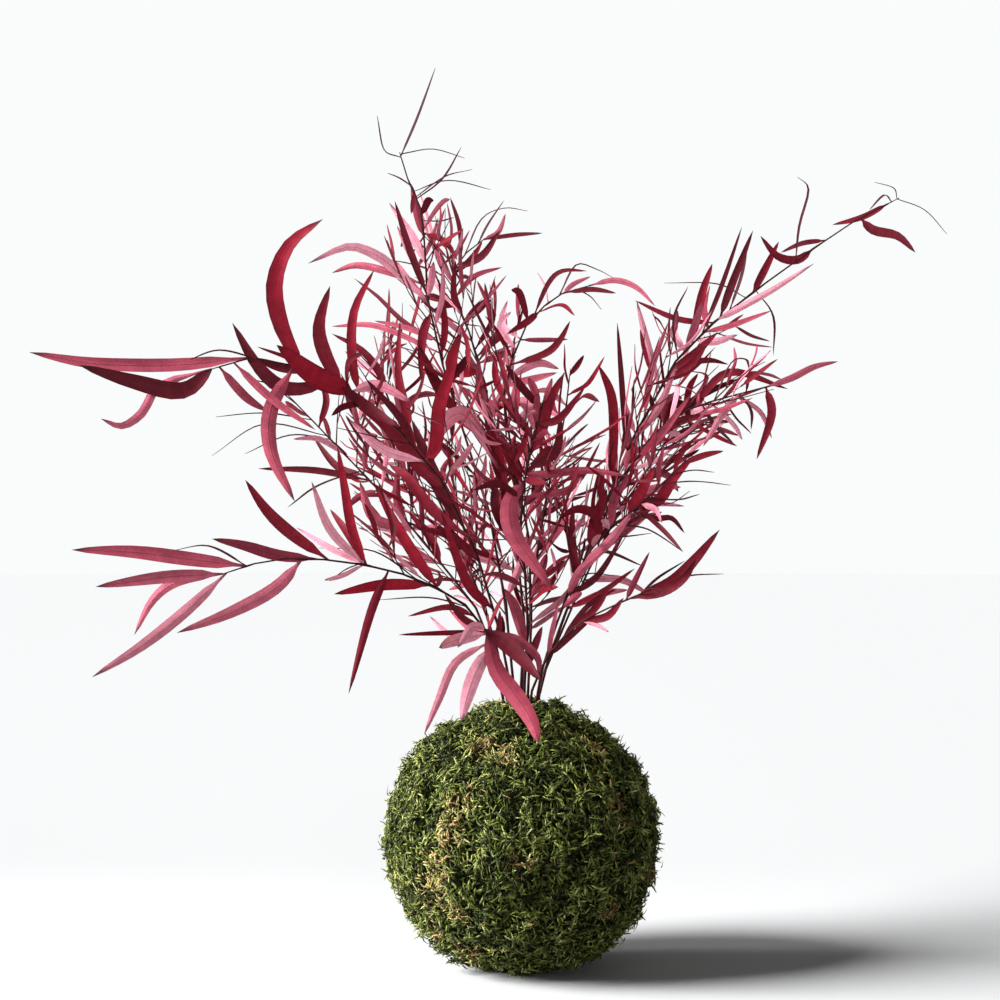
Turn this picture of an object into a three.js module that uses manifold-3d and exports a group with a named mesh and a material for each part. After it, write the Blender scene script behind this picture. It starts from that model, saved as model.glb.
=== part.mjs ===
// A kokedama: a ball of soil wrapped in moss, with leafy red sprays standing in its top.
// Millimetres, +Z up. The origin is the middle of the small flat spot the ball rests on.
// The front of the plant, the side the photo shows, faces -Y.
import * as THREE from 'three'
import { mergeVertices } from 'three/addons/utils/BufferGeometryUtils.js'
import Module from 'manifold-3d'

const wasm = await Module()
wasm.setup()

// ---- driving dimensions ----
const BALL_CENTRE_HEIGHT = 69.5
const BALL_SQUASH = 0.985
const MOSS_RADIUS = 74
const MOSS_RELIEF = 1.7
const CAVITY_RADIUS = 66
const FIT_GAP = 0.4
const SOIL_RADIUS = CAVITY_RADIUS - FIT_GAP
const HOLE_GAP = 0.35
const STEM_FOOT_HEIGHT = 110
const STEM_TOP_HEIGHT = 145
const FOOT_CLOSENESS = 0.82
const STEM_FOOT_RADIUS = 1.25
const STEM_TIP_RADIUS = 0.55
const STEM_RINGS = 11
const STEM_SIDES = 5
const LEAF_CLEAR_OF_BALL = 79
const LEAF_FLOOR = 152
const NEEDLE_WIDTH = 3.2
const LARGE_WIDTH = 6
const CREASE = 0.22
const LEAF_HALF_THICK = 0.44
const PETIOLE_HALF_WIDTH = 0.42
const PETIOLE_HALF_THICK = 0.4
const ROOT_SINK = 0.35
const STEM_TIP_REACH = 1.5

// The sprays are laid out as they are seen from the front by an eye at this place,
// with heights counted from the lowest edge of the moss that it sees
const EYE = { x: -12, z: 252.2, distance: 1100 }
const SEEN_BASE = -3.8

const MOSS_FACES = 8
const SOIL_FACES = 3
const BALL_CENTRE = new THREE.Vector3(0, 0, BALL_CENTRE_HEIGHT)
const FRONT = new THREE.Vector3(0, -1, 0)

// ---- small helpers ----

// A repeatable number from 0 to 1 for each pair of whole numbers
function chance(a, b) {
  const wave = Math.sin(a * 127.1 + b * 311.7 + 17.3) * 43758.5453
  return wave - Math.floor(wave)
}

function mix(from, to, share) {
  return from + (to - from) * share
}

// The place at depth y that the eye sees at x, z of the plane y = 0
function seen(x, z, y) {
  const spread = 1 + y / EYE.distance
  const height = z + SEEN_BASE
  return new THREE.Vector3(EYE.x + (x - EYE.x) * spread, y, EYE.z + (height - EYE.z) * spread)
}

// Where a place stands in the eye's view of the plane y = 0
function view(place) {
  const spread = 1 + place.y / EYE.distance
  const height = EYE.z + (place.z - EYE.z) / spread
  return { x: EYE.x + (place.x - EYE.x) / spread, z: height - SEEN_BASE }
}

// A smooth line through all its points, t from 0 to 1
function along(line, t) {
  const last = line.length - 1
  const reach = Math.min(Math.max(t, 0), 1) * last
  const i = Math.min(Math.floor(reach), last - 1)
  const f = reach - i
  const p1 = line[i]
  const p2 = line[i + 1]
  const p0 = i > 0 ? line[i - 1] : p1.clone().multiplyScalar(2).sub(p2)
  const p3 = i < last - 1 ? line[i + 2] : p2.clone().multiplyScalar(2).sub(p1)
  const place = new THREE.Vector3()
  for (const axis of ['x', 'y', 'z']) {
    const a = p1[axis]
    const slopeIn = 0.5 * (p2[axis] - p0[axis])
    const slopeOut = 0.5 * (p3[axis] - a)
    const c2 = -3 * a + 3 * p2[axis] - 2 * slopeIn - slopeOut
    const c3 = 2 * a - 2 * p2[axis] + slopeIn + slopeOut
    place[axis] = a + f * (slopeIn + f * (c2 + f * c3))
  }
  return place
}

function heading(line, t) {
  const step = 0.02
  return along(line, t + step).sub(along(line, t - step)).normalize()
}

function lengthOf(line) {
  let sum = 0
  for (let i = 1; i <= 12; i++) {
    sum += along(line, i / 12).distanceTo(along(line, (i - 1) / 12))
  }
  return sum
}

// Joins doubled corners and drops the flat triangles at the two ends of a turned shape
function welded(geometry) {
  const bare = geometry.clone()
  bare.deleteAttribute('normal')
  bare.deleteAttribute('uv')
  const merged = mergeVertices(bare, 1e-5)
  const corners = merged.index.array
  const kept = []
  for (let i = 0; i < corners.length; i += 3) {
    const [a, b, c] = [corners[i], corners[i + 1], corners[i + 2]]
    if (a !== b && b !== c && c !== a) {
      kept.push(a, b, c)
    }
  }
  merged.setIndex(kept)
  return merged
}

function solidOf(geometry) {
  const merged = welded(geometry)
  const vertProperties = new Float32Array(merged.attributes.position.array)
  const triVerts = new Uint32Array(merged.index.array)
  return new wasm.Manifold(new wasm.Mesh({ numProp: 3, vertProperties, triVerts }))
}

function geometryOf(solid) {
  const mesh = solid.getMesh()
  const geometry = new THREE.BufferGeometry()
  geometry.setAttribute('position', new THREE.BufferAttribute(new Float32Array(mesh.vertProperties), 3))
  geometry.setIndex(new THREE.BufferAttribute(new Uint32Array(mesh.triVerts), 1))
  geometry.computeVertexNormals()
  return geometry
}

// Cuts every other strip of faces along its other diagonal. The upper and the under side of
// a creased blade are then cut alike, and don't pass through each other where it turns.
function cutAlike(geometry, rings, sides) {
  const corners = geometry.index.array
  const perStrip = 6 * (rings + 1)
  for (let strip = 1; strip < sides; strip += 2) {
    for (let i = strip * perStrip; i < (strip + 1) * perStrip; i += 6) {
      const [a, b, d, c] = corners.slice(i, i + 4)
      corners.set([a, b, c, a, c, d], i)
    }
  }
  return geometry
}

// A turned shape with pointed ends whose rings are then carried along a line.
// place(ring, across, up) gives the new corner; ring 0 and ring rings + 1 are the two points.
function carried(rings, sides, place) {
  const profile = [new THREE.Vector2(0, 0)]
  for (let ring = 1; ring <= rings; ring++) {
    profile.push(new THREE.Vector2(1, ring))
  }
  profile.push(new THREE.Vector2(0, rings + 1))
  const geometry = new THREE.LatheGeometry(profile, sides)
  const corners = geometry.attributes.position
  const corner = new THREE.Vector3()
  for (let i = 0; i < corners.count; i++) {
    corner.fromBufferAttribute(corners, i)
    const moved = place(Math.round(corner.y), corner.x, corner.z)
    corners.setXYZ(i, moved.x, moved.y, moved.z)
  }
  return geometry
}

// ---- stems ----

// The stem runs straight from ring to ring, and leaves grow from that line
function stemSpot(spray, t) {
  const reach = Math.min(Math.max(t, 0), 1) * (STEM_RINGS - 1)
  const ring = Math.min(Math.floor(reach), STEM_RINGS - 2)
  const low = along(spray.line, ring / (STEM_RINGS - 1))
  const high = along(spray.line, (ring + 1) / (STEM_RINGS - 1))
  return low.lerp(high, reach - ring)
}

function stemRadius(t) {
  return mix(STEM_FOOT_RADIUS, STEM_TIP_RADIUS, t)
}

// The stem, or with extra the tool for the round hole it stands in
function stemShape(spray, extra) {
  const last = spray.line.length - 1
  return carried(STEM_RINGS, STEM_SIDES, (ring, across, up) => {
    const t = Math.min(Math.max((ring - 1) / (STEM_RINGS - 1), 0), 1)
    const way = heading(spray.line, t)
    const spot = along(spray.line, t)
    if (ring === 0) {
      return spot.addScaledVector(way, -ROOT_SINK - 2 * extra)
    }
    if (ring > STEM_RINGS) {
      return spray.line[last].clone().addScaledVector(way, STEM_TIP_REACH)
    }
    const normal = FRONT.clone().addScaledVector(way, -FRONT.dot(way)).normalize()
    const side = way.clone().cross(normal)
    const radius = stemRadius(t) + extra
    return spot.addScaledVector(side, across * radius).addScaledVector(normal, up * radius)
  })
}

// ---- leaves ----

// A small leaf has a flat top and a keel below; a large one is creased along its midrib.
// Share of the full width: a narrow base, widest before the middle, then a long point
function leafOutline(t) {
  return 0.1 + 0.9 * Math.sin(Math.PI * Math.pow(t, 0.82)) ** 0.85
}

const GRADES = {
  plain: { stations: [0, 0.42], sides: 3 },
  small: { stations: [0, 0.33, 0.7], sides: 3 },
  middle: { stations: [0, 0.28, 0.62], sides: 3 },
  large: { stations: [0, 0.2, 0.46, 0.74], sides: 4 },
}

function leafShape(leaf) {
  const { stations, sides } = GRADES[leaf.grade]
  const keeled = sides === 3
  const crease = keeled ? 0 : CREASE
  const blade = carried(stations.length, sides, (ring, x, y) => {
    const across = keeled ? -x : x
    const up = keeled ? -y : y
    if (ring === 0) {
      return leaf.line[0].clone().addScaledVector(heading(leaf.line, 0), -ROOT_SINK)
    }
    if (ring > stations.length) {
      return along(leaf.line, 1)
    }
    const t = stations[ring - 1]
    const frame = leafFrame(leaf, t)
    const atRoot = ring === 1
    const half = atRoot ? PETIOLE_HALF_WIDTH : leaf.width * leafOutline(t) / 2
    const thick = atRoot ? PETIOLE_HALF_THICK : LEAF_HALF_THICK
    const rise = up * thick + crease * half * Math.abs(across)
    return along(leaf.line, t)
      .addScaledVector(frame.side, across * half)
      .addScaledVector(frame.normal, rise)
  })
  return keeled ? blade : cutAlike(blade, stations.length, sides)
}

// Blade frame: its normal points out of the upper, dark face
function leafFrame(leaf, t) {
  const way = heading(leaf.line, t)
  const normal = leaf.normal.clone().addScaledVector(way, -leaf.normal.dot(way)).normalize()
  return { way, normal, side: way.clone().cross(normal) }
}

// Whether a blade turns about itself so fast that it would pass through itself.
// LEAST_AGREEMENT is the least that its side may agree with its side one look before.
const FOLD_LOOKS = 10
const LEAST_AGREEMENT = 0.77

function foldsOver(leaf) {
  let last = leafFrame(leaf, 0).side
  for (let i = 1; i <= FOLD_LOOKS; i++) {
    const { side } = leafFrame(leaf, i / FOLD_LOOKS)
    if (side.dot(last) < LEAST_AGREEMENT) {
      return true
    }
    last = side
  }
  return false
}

// ---- keeping the pieces clear of each other ----

// Each leaf and stem is filled with small balls, and a new leaf's balls must miss all others.
// CELL is the size of the boxes the balls are sorted into, and more than two balls' reach.
const CELL = 8
const SPINE_STEP = 3.2
const STEM_STEP = 3
const BALL_SPARE = 0.35
const STEM_SPARE = 1
const ROOT_LENGTH = 7
const STEM_NUMBER = -1
const SAME_SPRAY_ROOM = 0.75
const cells = new Map()

function cellKey(place, dx, dy, dz) {
  const x = Math.floor(place.x / CELL) + dx
  const y = Math.floor(place.y / CELL) + dy
  const z = Math.floor(place.z / CELL) + dz
  return (x * 1024 + y) * 1024 + z
}

function remember(balls) {
  for (const ball of balls) {
    const key = cellKey(ball.place, 0, 0, 0)
    if (!cells.has(key)) {
      cells.set(key, [])
    }
    cells.get(key).push(ball)
  }
}

// Small balls that fill a leaf, three across where it is wide
function leafBalls(leaf, owner, number) {
  const length = lengthOf(leaf.line)
  const count = Math.max(4, Math.ceil(length / SPINE_STEP))
  const balls = []
  for (let i = 1; i <= count; i++) {
    const t = i / count
    const frame = leafFrame(leaf, t)
    const half = leaf.width * leafOutline(t) / 2
    const radius = 0.5 * Math.hypot(length / count, half) + BALL_SPARE
    for (const across of half > 1.2 ? [-0.8, 0, 0.8] : [0]) {
      const place = along(leaf.line, t)
        .addScaledVector(frame.side, across * half)
        .addScaledVector(frame.normal, CREASE * half * Math.abs(across))
      balls.push({ place, radius, owner, number, root: t * length < ROOT_LENGTH })
    }
  }
  return balls
}

function stemBalls(spray, owner) {
  const count = Math.ceil(lengthOf(spray.line) / STEM_STEP)
  const balls = []
  for (let i = 0; i <= count; i++) {
    const t = i / count
    const radius = stemRadius(t) + STEM_SPARE
    balls.push({ place: stemSpot(spray, t), radius, owner, number: STEM_NUMBER, root: false })
  }
  return balls
}

// Leaves of one spray may meet near their roots, because they are one body with its stem
function isClear(balls) {
  for (const ball of balls) {
    if (ball.place.distanceTo(BALL_CENTRE) < LEAF_CLEAR_OF_BALL) {
      return false
    }
    for (let dx = -1; dx <= 1; dx++) {
      for (let dy = -1; dy <= 1; dy++) {
        for (let dz = -1; dz <= 1; dz++) {
          for (const other of cells.get(cellKey(ball.place, dx, dy, dz)) || []) {
            const same = other.owner === ball.owner
            if (same && (ball.root || other.root || other.number === STEM_NUMBER)) {
              continue
            }
            const room = (ball.radius + other.radius) * (same ? SAME_SPRAY_ROOM : 1)
            if (ball.place.distanceToSquared(other.place) < room * room) {
              return false
            }
          }
        }
      }
    }
  }
  return true
}

// ---- leaves placed by eye ----

const STEM_LOOKS = 160
const NEAR_STEM = 4
const DEPTH_BEND = 1.3
const DEPTH_TRIES = [0, -8, 8, -15, 15, -22, 22, -30, 30, -38, 38, -48, 48]

function nearestOnStem(spray, spot) {
  let best = { t: 0, gap: Infinity }
  for (let i = 0; i <= STEM_LOOKS; i++) {
    const t = i / STEM_LOOKS
    const place = stemSpot(spray, t)
    const seenAt = view(place)
    const gap = Math.hypot(seenAt.x - spot[0], seenAt.z - spot[1])
    if (gap < best.gap && place.z > LEAF_FLOOR) {
      best = { t, gap }
    }
  }
  return best
}

// face: 'up' shows the dark upper side to the front, 'under' the pink underside, 'edge' the thin edge
function leafByEye(spray, owner, number, [face, width, toward, ...points]) {
  const root = nearestOnStem(spray, points[0])
  const foot = stemSpot(spray, root.t)
  const way = root.gap < NEAR_STEM ? points.slice(1) : points
  const normals = { up: [0, -1, 0.12], under: [0, 1, 0.12], edge: [0.1, -0.3, 1] }
  for (const extra of DEPTH_TRIES) {
    const line = [foot]
    way.forEach((point, i) => {
      const share = (i + 1) / way.length
      line.push(seen(point[0], point[1], foot.y - (toward + extra) * Math.pow(share, DEPTH_BEND)))
    })
    const leaf = { line, width, face, normal: new THREE.Vector3(...normals[face]) }
    leaf.grade = width < NEEDLE_WIDTH ? 'small' : width < LARGE_WIDTH ? 'middle' : 'large'
    if (foldsOver(leaf)) {
      continue
    }
    const balls = leafBalls(leaf, owner, number)
    if (isClear(balls)) {
      remember(balls)
      return leaf
    }
  }
  return null
}

// ---- leaves placed by rule, up and around each stem ----

const RULE_TRIES = 14
const RULE_NUMBER = 100
const TIRED_TRY = 8

function leafByRule(spray, owner, number, share) {
  const span = mix(spray.rule.from, spray.rule.to, share)
  const foot = stemSpot(spray, span)
  const up = heading(spray.line, span)
  const flat = up.clone().cross(FRONT).normalize()
  const deep = flat.clone().cross(up)
  const size = mix(spray.rule.long, spray.rule.short, share)
  for (let go = 0; go < RULE_TRIES; go++) {
    const draw = (k) => chance(owner * 37 + number, go * 11 + k)
    const turn = number * Math.PI + (draw(1) - 0.5) * 2.6 + go * 0.9
    const tilt = mix(0.4, 1.15, draw(2))
    const out = flat.clone().multiplyScalar(Math.cos(turn)).addScaledVector(deep, Math.sin(turn))
    const way = up.clone().multiplyScalar(Math.cos(tilt)).addScaledVector(out, Math.sin(tilt))
    const length = size * mix(0.65, 1.2, draw(3)) * (go > TIRED_TRY ? 0.7 : 1)
    const middle = foot.clone().addScaledVector(way, length * 0.5)
    middle.addScaledVector(out, length * mix(0, 0.08, draw(4)))
    const tip = foot.clone().addScaledVector(way, length * 0.93)
    tip.addScaledVector(up, length * mix(-0.25, 0.25, draw(5)))
    tip.z -= length * mix(-0.05, 0.22, draw(6))
    const normal = up.clone().multiplyScalar(Math.sin(tilt)).addScaledVector(out, -Math.cos(tilt))
    const side = way.clone().cross(normal)
    const roll = mix(0.5, 1.35, draw(7)) * (draw(9) < 0.5 ? -1 : 1)
    normal.multiplyScalar(Math.cos(roll)).addScaledVector(side, Math.sin(roll))
    const width = mix(spray.rule.narrow, spray.rule.wide, draw(8))
    const leaf = { line: [foot, middle, tip], width, normal, face: 'rule', grade: 'plain' }
    const balls = leafBalls(leaf, owner, number)
    if (isClear(balls)) {
      remember(balls)
      return leaf
    }
  }
  return null
}

// ---- the sprays ----

// foot: where the stem leaves the moss, [x, y]. rise: the stem from there on, as [x, z, y] seen
// from the front. leaves: [face, width, toward the front, then the points from base to tip].
// rule: how many leaves the rule adds, where along the stem, and how big they are.
const SPRAYS = {
  spray_far_left: {
    foot: [-5, -9],
    rise: [[-12, 184, -14], [-24, 225, -22], [-44, 267, -34], [-66, 293, -44], [-87, 312, -52],
      [-104, 321, -58], [-120, 328, -63], [-147, 333, -69], [-168, 327, -72]],
    leaves: [
      ['up', 9.5, 16, [-117, 331], [-130, 349], [-134, 372], [-126, 394], [-108, 408]],
      ['up', 8, 4, [-95, 319], [-106, 333], [-110, 350], [-104, 372]],
      ['up', 5.5, -6, [-88, 312], [-92, 332], [-91, 358], [-80, 381]],
      ['up', 8, 8, [-104, 317], [-126, 316], [-142, 327], [-157, 352]],
      ['up', 12, 18, [-92, 316], [-112, 323], [-133, 340]],
      ['up', 7.5, -6, [-147, 333], [-190, 329], [-232, 330], [-267, 336]],
      ['up', 9.5, 16, [-168, 327], [-184, 315], [-210, 320], [-240, 329]],
      ['edge', 3, -14, [-143, 334], [-164, 337], [-180, 332]],
      ['under', 5, 26, [-168, 327], [-196, 318], [-206, 303], [-217, 296], [-228, 300]],
      ['under', 8.5, 20, [-124, 327], [-136, 306], [-136, 282], [-123, 255]],
      ['under', 5, -10, [-164, 327], [-150, 312], [-138, 304]],
      ['under', 4.5, -20, [-156, 328], [-136, 311], [-112, 294]],
      ['under', 6, 2, [-92, 315], [-78, 318], [-60, 309]],
      ['up', 5, -6, [-62, 300], [-67, 324], [-66, 354]],
      ['up', 4.5, -6, [-79, 305], [-76, 322], [-87, 337], [-103, 346]],
      ['up', 8, 6, [-47, 284], [-45, 306], [-40, 322], [-33, 347]],
      ['under', 5.5, 6, [-52, 276], [-70, 281], [-82, 288], [-94, 300]],
      ['up', 10, 10, [-38, 262], [-56, 276], [-72, 296], [-96, 313]],
      ['up', 8, 4, [-30, 240], [-46, 266], [-60, 300]],
      ['up', 6.5, 14, [-28, 236], [-48, 250], [-62, 268], [-72, 275]],
      ['under', 9, -20, [-52, 277], [-45, 294], [-34, 303], [-24, 294], [-12, 271]],
      ['up', 5, 10, [-26, 222], [-38, 236], [-57, 241]],
      ['up', 6, 16, [-16, 198], [-30, 212], [-44, 250]],
      ['under', 4.5, 10, [-60, 284], [-66, 300], [-85, 322]],
      ['up', 5.5, 18, [-100, 318], [-80, 304], [-68, 296]],
    ],
    rule: { count: 9, from: 0.24, to: 0.8, long: 50, short: 36, narrow: 4, wide: 7 },
  },
  spray_low_left: {
    foot: [-10, -4],
    rise: [[-20, 189, -12], [-36, 202, -22], [-54, 212, -32], [-76, 219, -42], [-100, 223, -50],
      [-124, 224.5, -56], [-143, 222, -60], [-162, 216, -63]],
    leaves: [
      ['up', 7, 6, [-105, 225], [-124, 237], [-138, 250], [-150, 267]],
      ['up', 8, 0, [-150, 221], [-180, 224], [-212, 228], [-244, 229]],
      ['up', 7, 8, [-162, 216], [-195, 214], [-231, 209]],
      ['under', 5.5, 16, [-162, 216], [-186, 212], [-200, 202], [-210, 183]],
      ['under', 6.5, 20, [-160, 216], [-182, 196], [-206, 177], [-233, 160]],
      ['under', 7.5, 16, [-119, 224], [-134, 208], [-158, 195], [-187, 184]],
      ['up', 6.5, 12, [-110, 224], [-132, 226], [-150, 231], [-168, 235]],
      ['up', 6.5, 12, [-50, 209], [-75, 210], [-102, 205]],
      ['under', 5, 18, [-72, 218], [-82, 195], [-94, 151]],
      ['edge', 2.6, -6, [-150, 221], [-170, 231], [-192, 228]],
      ['up', 5.5, 0, [-84, 221], [-92, 240], [-96, 262], [-100, 285]],
      ['up', 5, -10, [-84, 221], [-93, 236], [-104, 251]],
      ['under', 5, -18, [-86, 222], [-104, 240], [-114, 266]],
      ['under', 3.6, -12, [-86, 222], [-106, 231], [-122, 241]],
      ['edge', 2.4, 8, [-32, 197], [-50, 203], [-77, 202]],
      ['up', 3.6, 6, [-26, 193], [-40, 198], [-62, 193]],
      ['up', 3, 12, [-19, 184], [-42, 184], [-67, 183]],
      ['under', 3.8, 6, [-19, 184], [-37, 182], [-50, 193]],
      ['edge', 2.2, -6, [-88, 222], [-96, 218], [-104, 212]],
      ['up', 6.5, -2, [-46, 207], [-62, 232], [-80, 264]],
      ['edge', 2, -10, [-56, 213], [-80, 228], [-110, 230]],
    ],
    rule: { count: 2, from: 0.3, to: 0.7, long: 36, short: 28, narrow: 3, wide: 5 },
  },
  spray_thin_left: {
    foot: [-10, 3],
    rise: [[-20, 188, 6], [-34, 209, 12], [-54, 234, 18], [-70, 253, 24], [-86, 270, 30],
      [-103, 288, 36], [-128, 314, 42]],
    leaves: [
      ['up', 4.2, -4, [-84, 266], [-112, 272], [-143, 273]],
      ['up', 4.6, -8, [-86, 268], [-100, 274], [-113, 290]],
      ['under', 5, 0, [-64, 246], [-68, 258], [-67, 277]],
      ['under', 6.5, 4, [-60, 240], [-80, 246], [-88, 266]],
      ['up', 5, -4, [-44, 222], [-50, 236], [-62, 250]],
      ['edge', 2.4, 8, [-103, 289], [-126, 291], [-150, 281]],
      ['edge', 2.2, -6, [-106, 291], [-140, 297], [-168, 280]],
      ['edge', 2.4, 14, [-114, 299], [-140, 303], [-166, 301]],
      ['under', 3.6, 12, [-96, 281], [-110, 289], [-124, 289]],
      ['edge', 2.2, -14, [-88, 271], [-110, 264], [-127, 252]],
      ['up', 4.2, -8, [-110, 295], [-106, 310], [-110, 322]],
      ['edge', 2.2, 4, [-122, 308], [-136, 318], [-150, 322]],
    ],
    rule: { count: 10, from: 0.34, to: 0.97, long: 42, short: 28, narrow: 3, wide: 5.4 },
  },
  spray_tall: {
    foot: [-4, 3],
    rise: [[-9, 200, 6], [-18, 250, 10], [-34, 300, 14], [-43, 329, 16], [-51, 364, 18], [-53, 396, 19],
      [-55, 414, 19], [-62, 430, 20], [-66, 443, 20]],
    leaves: [
      ['edge', 2.6, 0, [-62, 443], [-57, 462], [-47, 490]],
      ['edge', 2.6, 10, [-62, 444], [-48, 446], [-31, 441]],
      ['edge', 2.4, 6, [-66, 441], [-75, 446], [-78.5, 464]],
      ['edge', 2.2, -8, [-60, 426], [-66, 430], [-73, 433]],
      ['up', 2.8, 8, [-58, 422], [-60, 411]],
      ['up', 4.4, 4, [-51, 366], [-61, 392], [-69, 418]],
      ['edge', 2.2, 10, [-56, 424], [-40, 429], [-17, 424]],
      ['up', 3.6, 8, [-53, 401], [-42, 396], [-35, 386]],
      ['edge', 2.2, -8, [-53, 399], [-45, 390], [-40, 380]],
      ['edge', 2.2, -6, [-53, 407], [-44, 407], [-37, 409]],
      ['edge', 2.4, 14, [-56, 421], [-42, 431], [-27, 435]],
      ['edge', 2, -12, [-56, 419], [-43, 430], [-33, 447]],
      ['under', 5, 6, [-53, 398], [-57, 412], [-60, 427]],
      ['under', 6, 12, [-51, 362], [-68, 380], [-80, 389], [-95, 393], [-116, 384]],
      ['under', 4.6, 0, [-52, 372], [-74, 380], [-90, 383], [-103, 379]],
      ['up', 5.5, 12, [-50, 358], [-54, 344], [-55, 321]],
      ['up', 3, 0, [-51, 344], [-66, 354], [-78, 366], [-91, 376]],
      ['up', 3.4, 10, [-47, 343], [-62, 349], [-80, 353]],
      ['under', 3.6, -16, [-44, 336], [-78, 350], [-103, 350]],
      ['under', 4.4, 8, [-51, 366], [-49, 376], [-48, 385]],
      ['under', 5, -8, [-53, 384], [-59, 398], [-72, 417]],
      ['up', 6.5, 10, [-35, 302], [-46, 318], [-56, 340]],
    ],
    rule: { count: 14, from: 0.18, to: 0.8, long: 50, short: 28, narrow: 3, wide: 6.4 },
  },
  spray_high_middle: {
    foot: [-1, 9],
    rise: [[1, 200, 20], [-6, 250, 32], [-17, 300, 40], [-24, 336, 46], [-36, 362, 50], [-38, 378, 52],
      [-31, 389, 53], [-21, 397, 54]],
    leaves: [
      ['up', 2.8, 6, [-19, 398], [-4, 399.5], [11, 400.5]],
      ['under', 3.4, -6, [-19, 397], [-13, 401], [-9, 411]],
      ['up', 4.8, 8, [-37, 381], [-22, 388], [-12, 402]],
      ['edge', 2.2, 10, [-31, 389], [-22, 408], [-10, 414], [3, 412.5]],
      ['edge', 2, -8, [-24, 395], [-18, 406], [-10, 418]],
      ['up', 3, -2, [-33, 387], [-34, 404], [-39, 420]],
      ['up', 3.4, 4, [-36, 366], [-26, 377], [-11, 382]],
      ['up', 4, 8, [-35, 352], [-37, 368], [-36, 386]],
      ['up', 3.4, 4, [-35, 362], [-42, 361], [-49, 358]],
      ['edge', 2.4, -6, [-33, 352], [-30, 351], [-22, 350]],
      ['up', 8, 12, [-20, 326], [-38, 328], [-33, 348]],
      ['up', 3.6, 6, [-25, 338], [-16, 354], [-21, 367]],
      ['up', 4.4, -4, [-22, 330], [-10, 335], [-3, 336]],
      ['up', 4, 4, [-23, 334], [-12, 344], [-6, 343]],
      ['up', 6, 10, [-14, 292], [-22, 312], [-24, 334]],
      ['under', 5, 4, [-16, 303], [-8, 320], [-4, 345]],
      ['up', 8.5, 12, [-9, 261], [-13, 276], [-16, 292], [-21, 310]],
    ],
    rule: { count: 15, from: 0.2, to: 0.8, long: 46, short: 24, narrow: 3, wide: 6 },
  },
  spray_arching: {
    foot: [3, 2],
    rise: [[5, 200, 2], [2, 250, 4], [-10, 300, 7], [-8, 322, 9], [-1, 345, 10], [10, 359, 10],
      [20, 367, 10], [36, 372, 10]],
    leaves: [
      ['up', 4.4, 4, [-4, 329], [12, 335], [20, 342], [26, 353]],
      ['up', 4.6, 8, [-9, 317], [4, 321], [19, 325]],
      ['under', 5, -4, [-7, 322], [8, 330], [20, 327]],
      ['under', 3, -2, [22, 368], [28, 373], [37, 377]],
      ['up', 3, 6, [5, 355], [14, 373], [22, 380], [35, 380]],
      ['edge', 2, -6, [20, 367], [29, 383], [40, 381], [50, 376]],
      ['up', 3.2, 6, [24, 368], [38, 370], [51, 368]],
      ['up', 4, -2, [-4, 337], [-12, 350], [-6, 358]],
      ['under', 3.6, 2, [36, 372], [50, 375], [62, 371], [72, 361]],
      ['edge', 2, 4, [30, 370], [37, 366], [43, 359]],
      ['under', 5.5, 10, [-10, 306], [4, 309], [22, 300]],
      ['up', 3.4, -6, [-2, 343], [-11, 352], [-8, 364]],
      ['up', 4.4, 2, [8, 358], [2, 352], [-8, 346]],
    ],
    rule: { count: 12, from: 0.2, to: 0.85, long: 46, short: 24, narrow: 3, wide: 6 },
  },
  spray_upper_right: {
    foot: [8, 6],
    rise: [[20, 184, 14], [33, 222, 24], [46, 258, 32], [64, 297, 40], [83, 331, 47], [99, 348, 52],
      [124, 368, 57], [143, 381, 61], [167, 399, 65], [182, 408, 68], [203, 419, 71]],
    leaves: [
      ['up', 6, 10, [183, 408], [190, 402], [203, 399], [213, 390]],
      ['up', 3.8, -6, [199, 416], [184, 409], [168, 405]],
      ['edge', 2.2, 10, [200, 418], [196, 421], [188, 413]],
      ['edge', 2, 4, [203, 419], [201, 425], [191, 428]],
      ['edge', 2, -6, [203, 419], [218, 413], [230, 400]],
      ['edge', 2, 6, [148, 385], [150, 404], [155, 424], [149, 431]],
      ['up', 5.5, 6, [158, 393], [149, 386], [138, 388], [129, 399]],
      ['up', 3.2, -6, [164, 398], [152, 395], [140, 390]],
      ['up', 4.8, -4, [124, 368], [131, 380], [139, 396]],
      ['up', 5, 4, [107, 355], [114, 374], [125, 402]],
      ['up', 5.2, -4, [91, 341], [97, 366], [103, 384]],
      ['up', 3, 6, [97, 346], [108, 372], [119, 404]],
      ['edge', 2.6, 10, [112, 360], [119, 378], [122, 394]],
      ['under', 4.2, 8, [106, 353], [116, 359], [136, 370], [158, 384]],
      ['up', 3.6, 12, [98, 347], [115, 351], [135, 358.5]],
      ['up', 3.8, 6, [104, 352], [84, 354], [61, 364]],
      ['under', 4.4, 6, [74, 316], [68, 340], [62, 364]],
      ['edge', 2.2, -6, [120, 366], [105, 373], [77, 373.5]],
      ['edge', 2, 6, [127, 370], [136, 355], [136, 334]],
      ['up', 2, -8, [84, 332], [82, 354], [90, 372]],
      ['up', 3.6, 4, [56, 281], [54, 318], [51.5, 352]],
      ['up', 6, 8, [48, 264], [49, 308], [41.5, 329]],
      ['up', 5, -6, [88, 336], [82, 346], [84, 351]],
      ['up', 5.5, 8, [80, 327], [92, 334], [106, 347]],
      ['up', 5, 14, [76, 320], [90, 328], [100, 340]],
      ['under', 4, 16, [66, 300], [70, 326], [79, 352]],
      ['under', 4.6, 14, [60, 289], [74, 306], [84, 330]],
    ],
    rule: { count: 14, from: 0.18, to: 0.6, long: 48, short: 30, narrow: 3.4, wide: 6.4 },
  },
  spray_middle_right: {
    foot: [8, -1],
    rise: [[20, 186, -5], [36, 226, -12], [53, 267, -19], [78, 298, -27], [96, 307, -32],
      [112, 312, -36], [132, 317, -41]],
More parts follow.
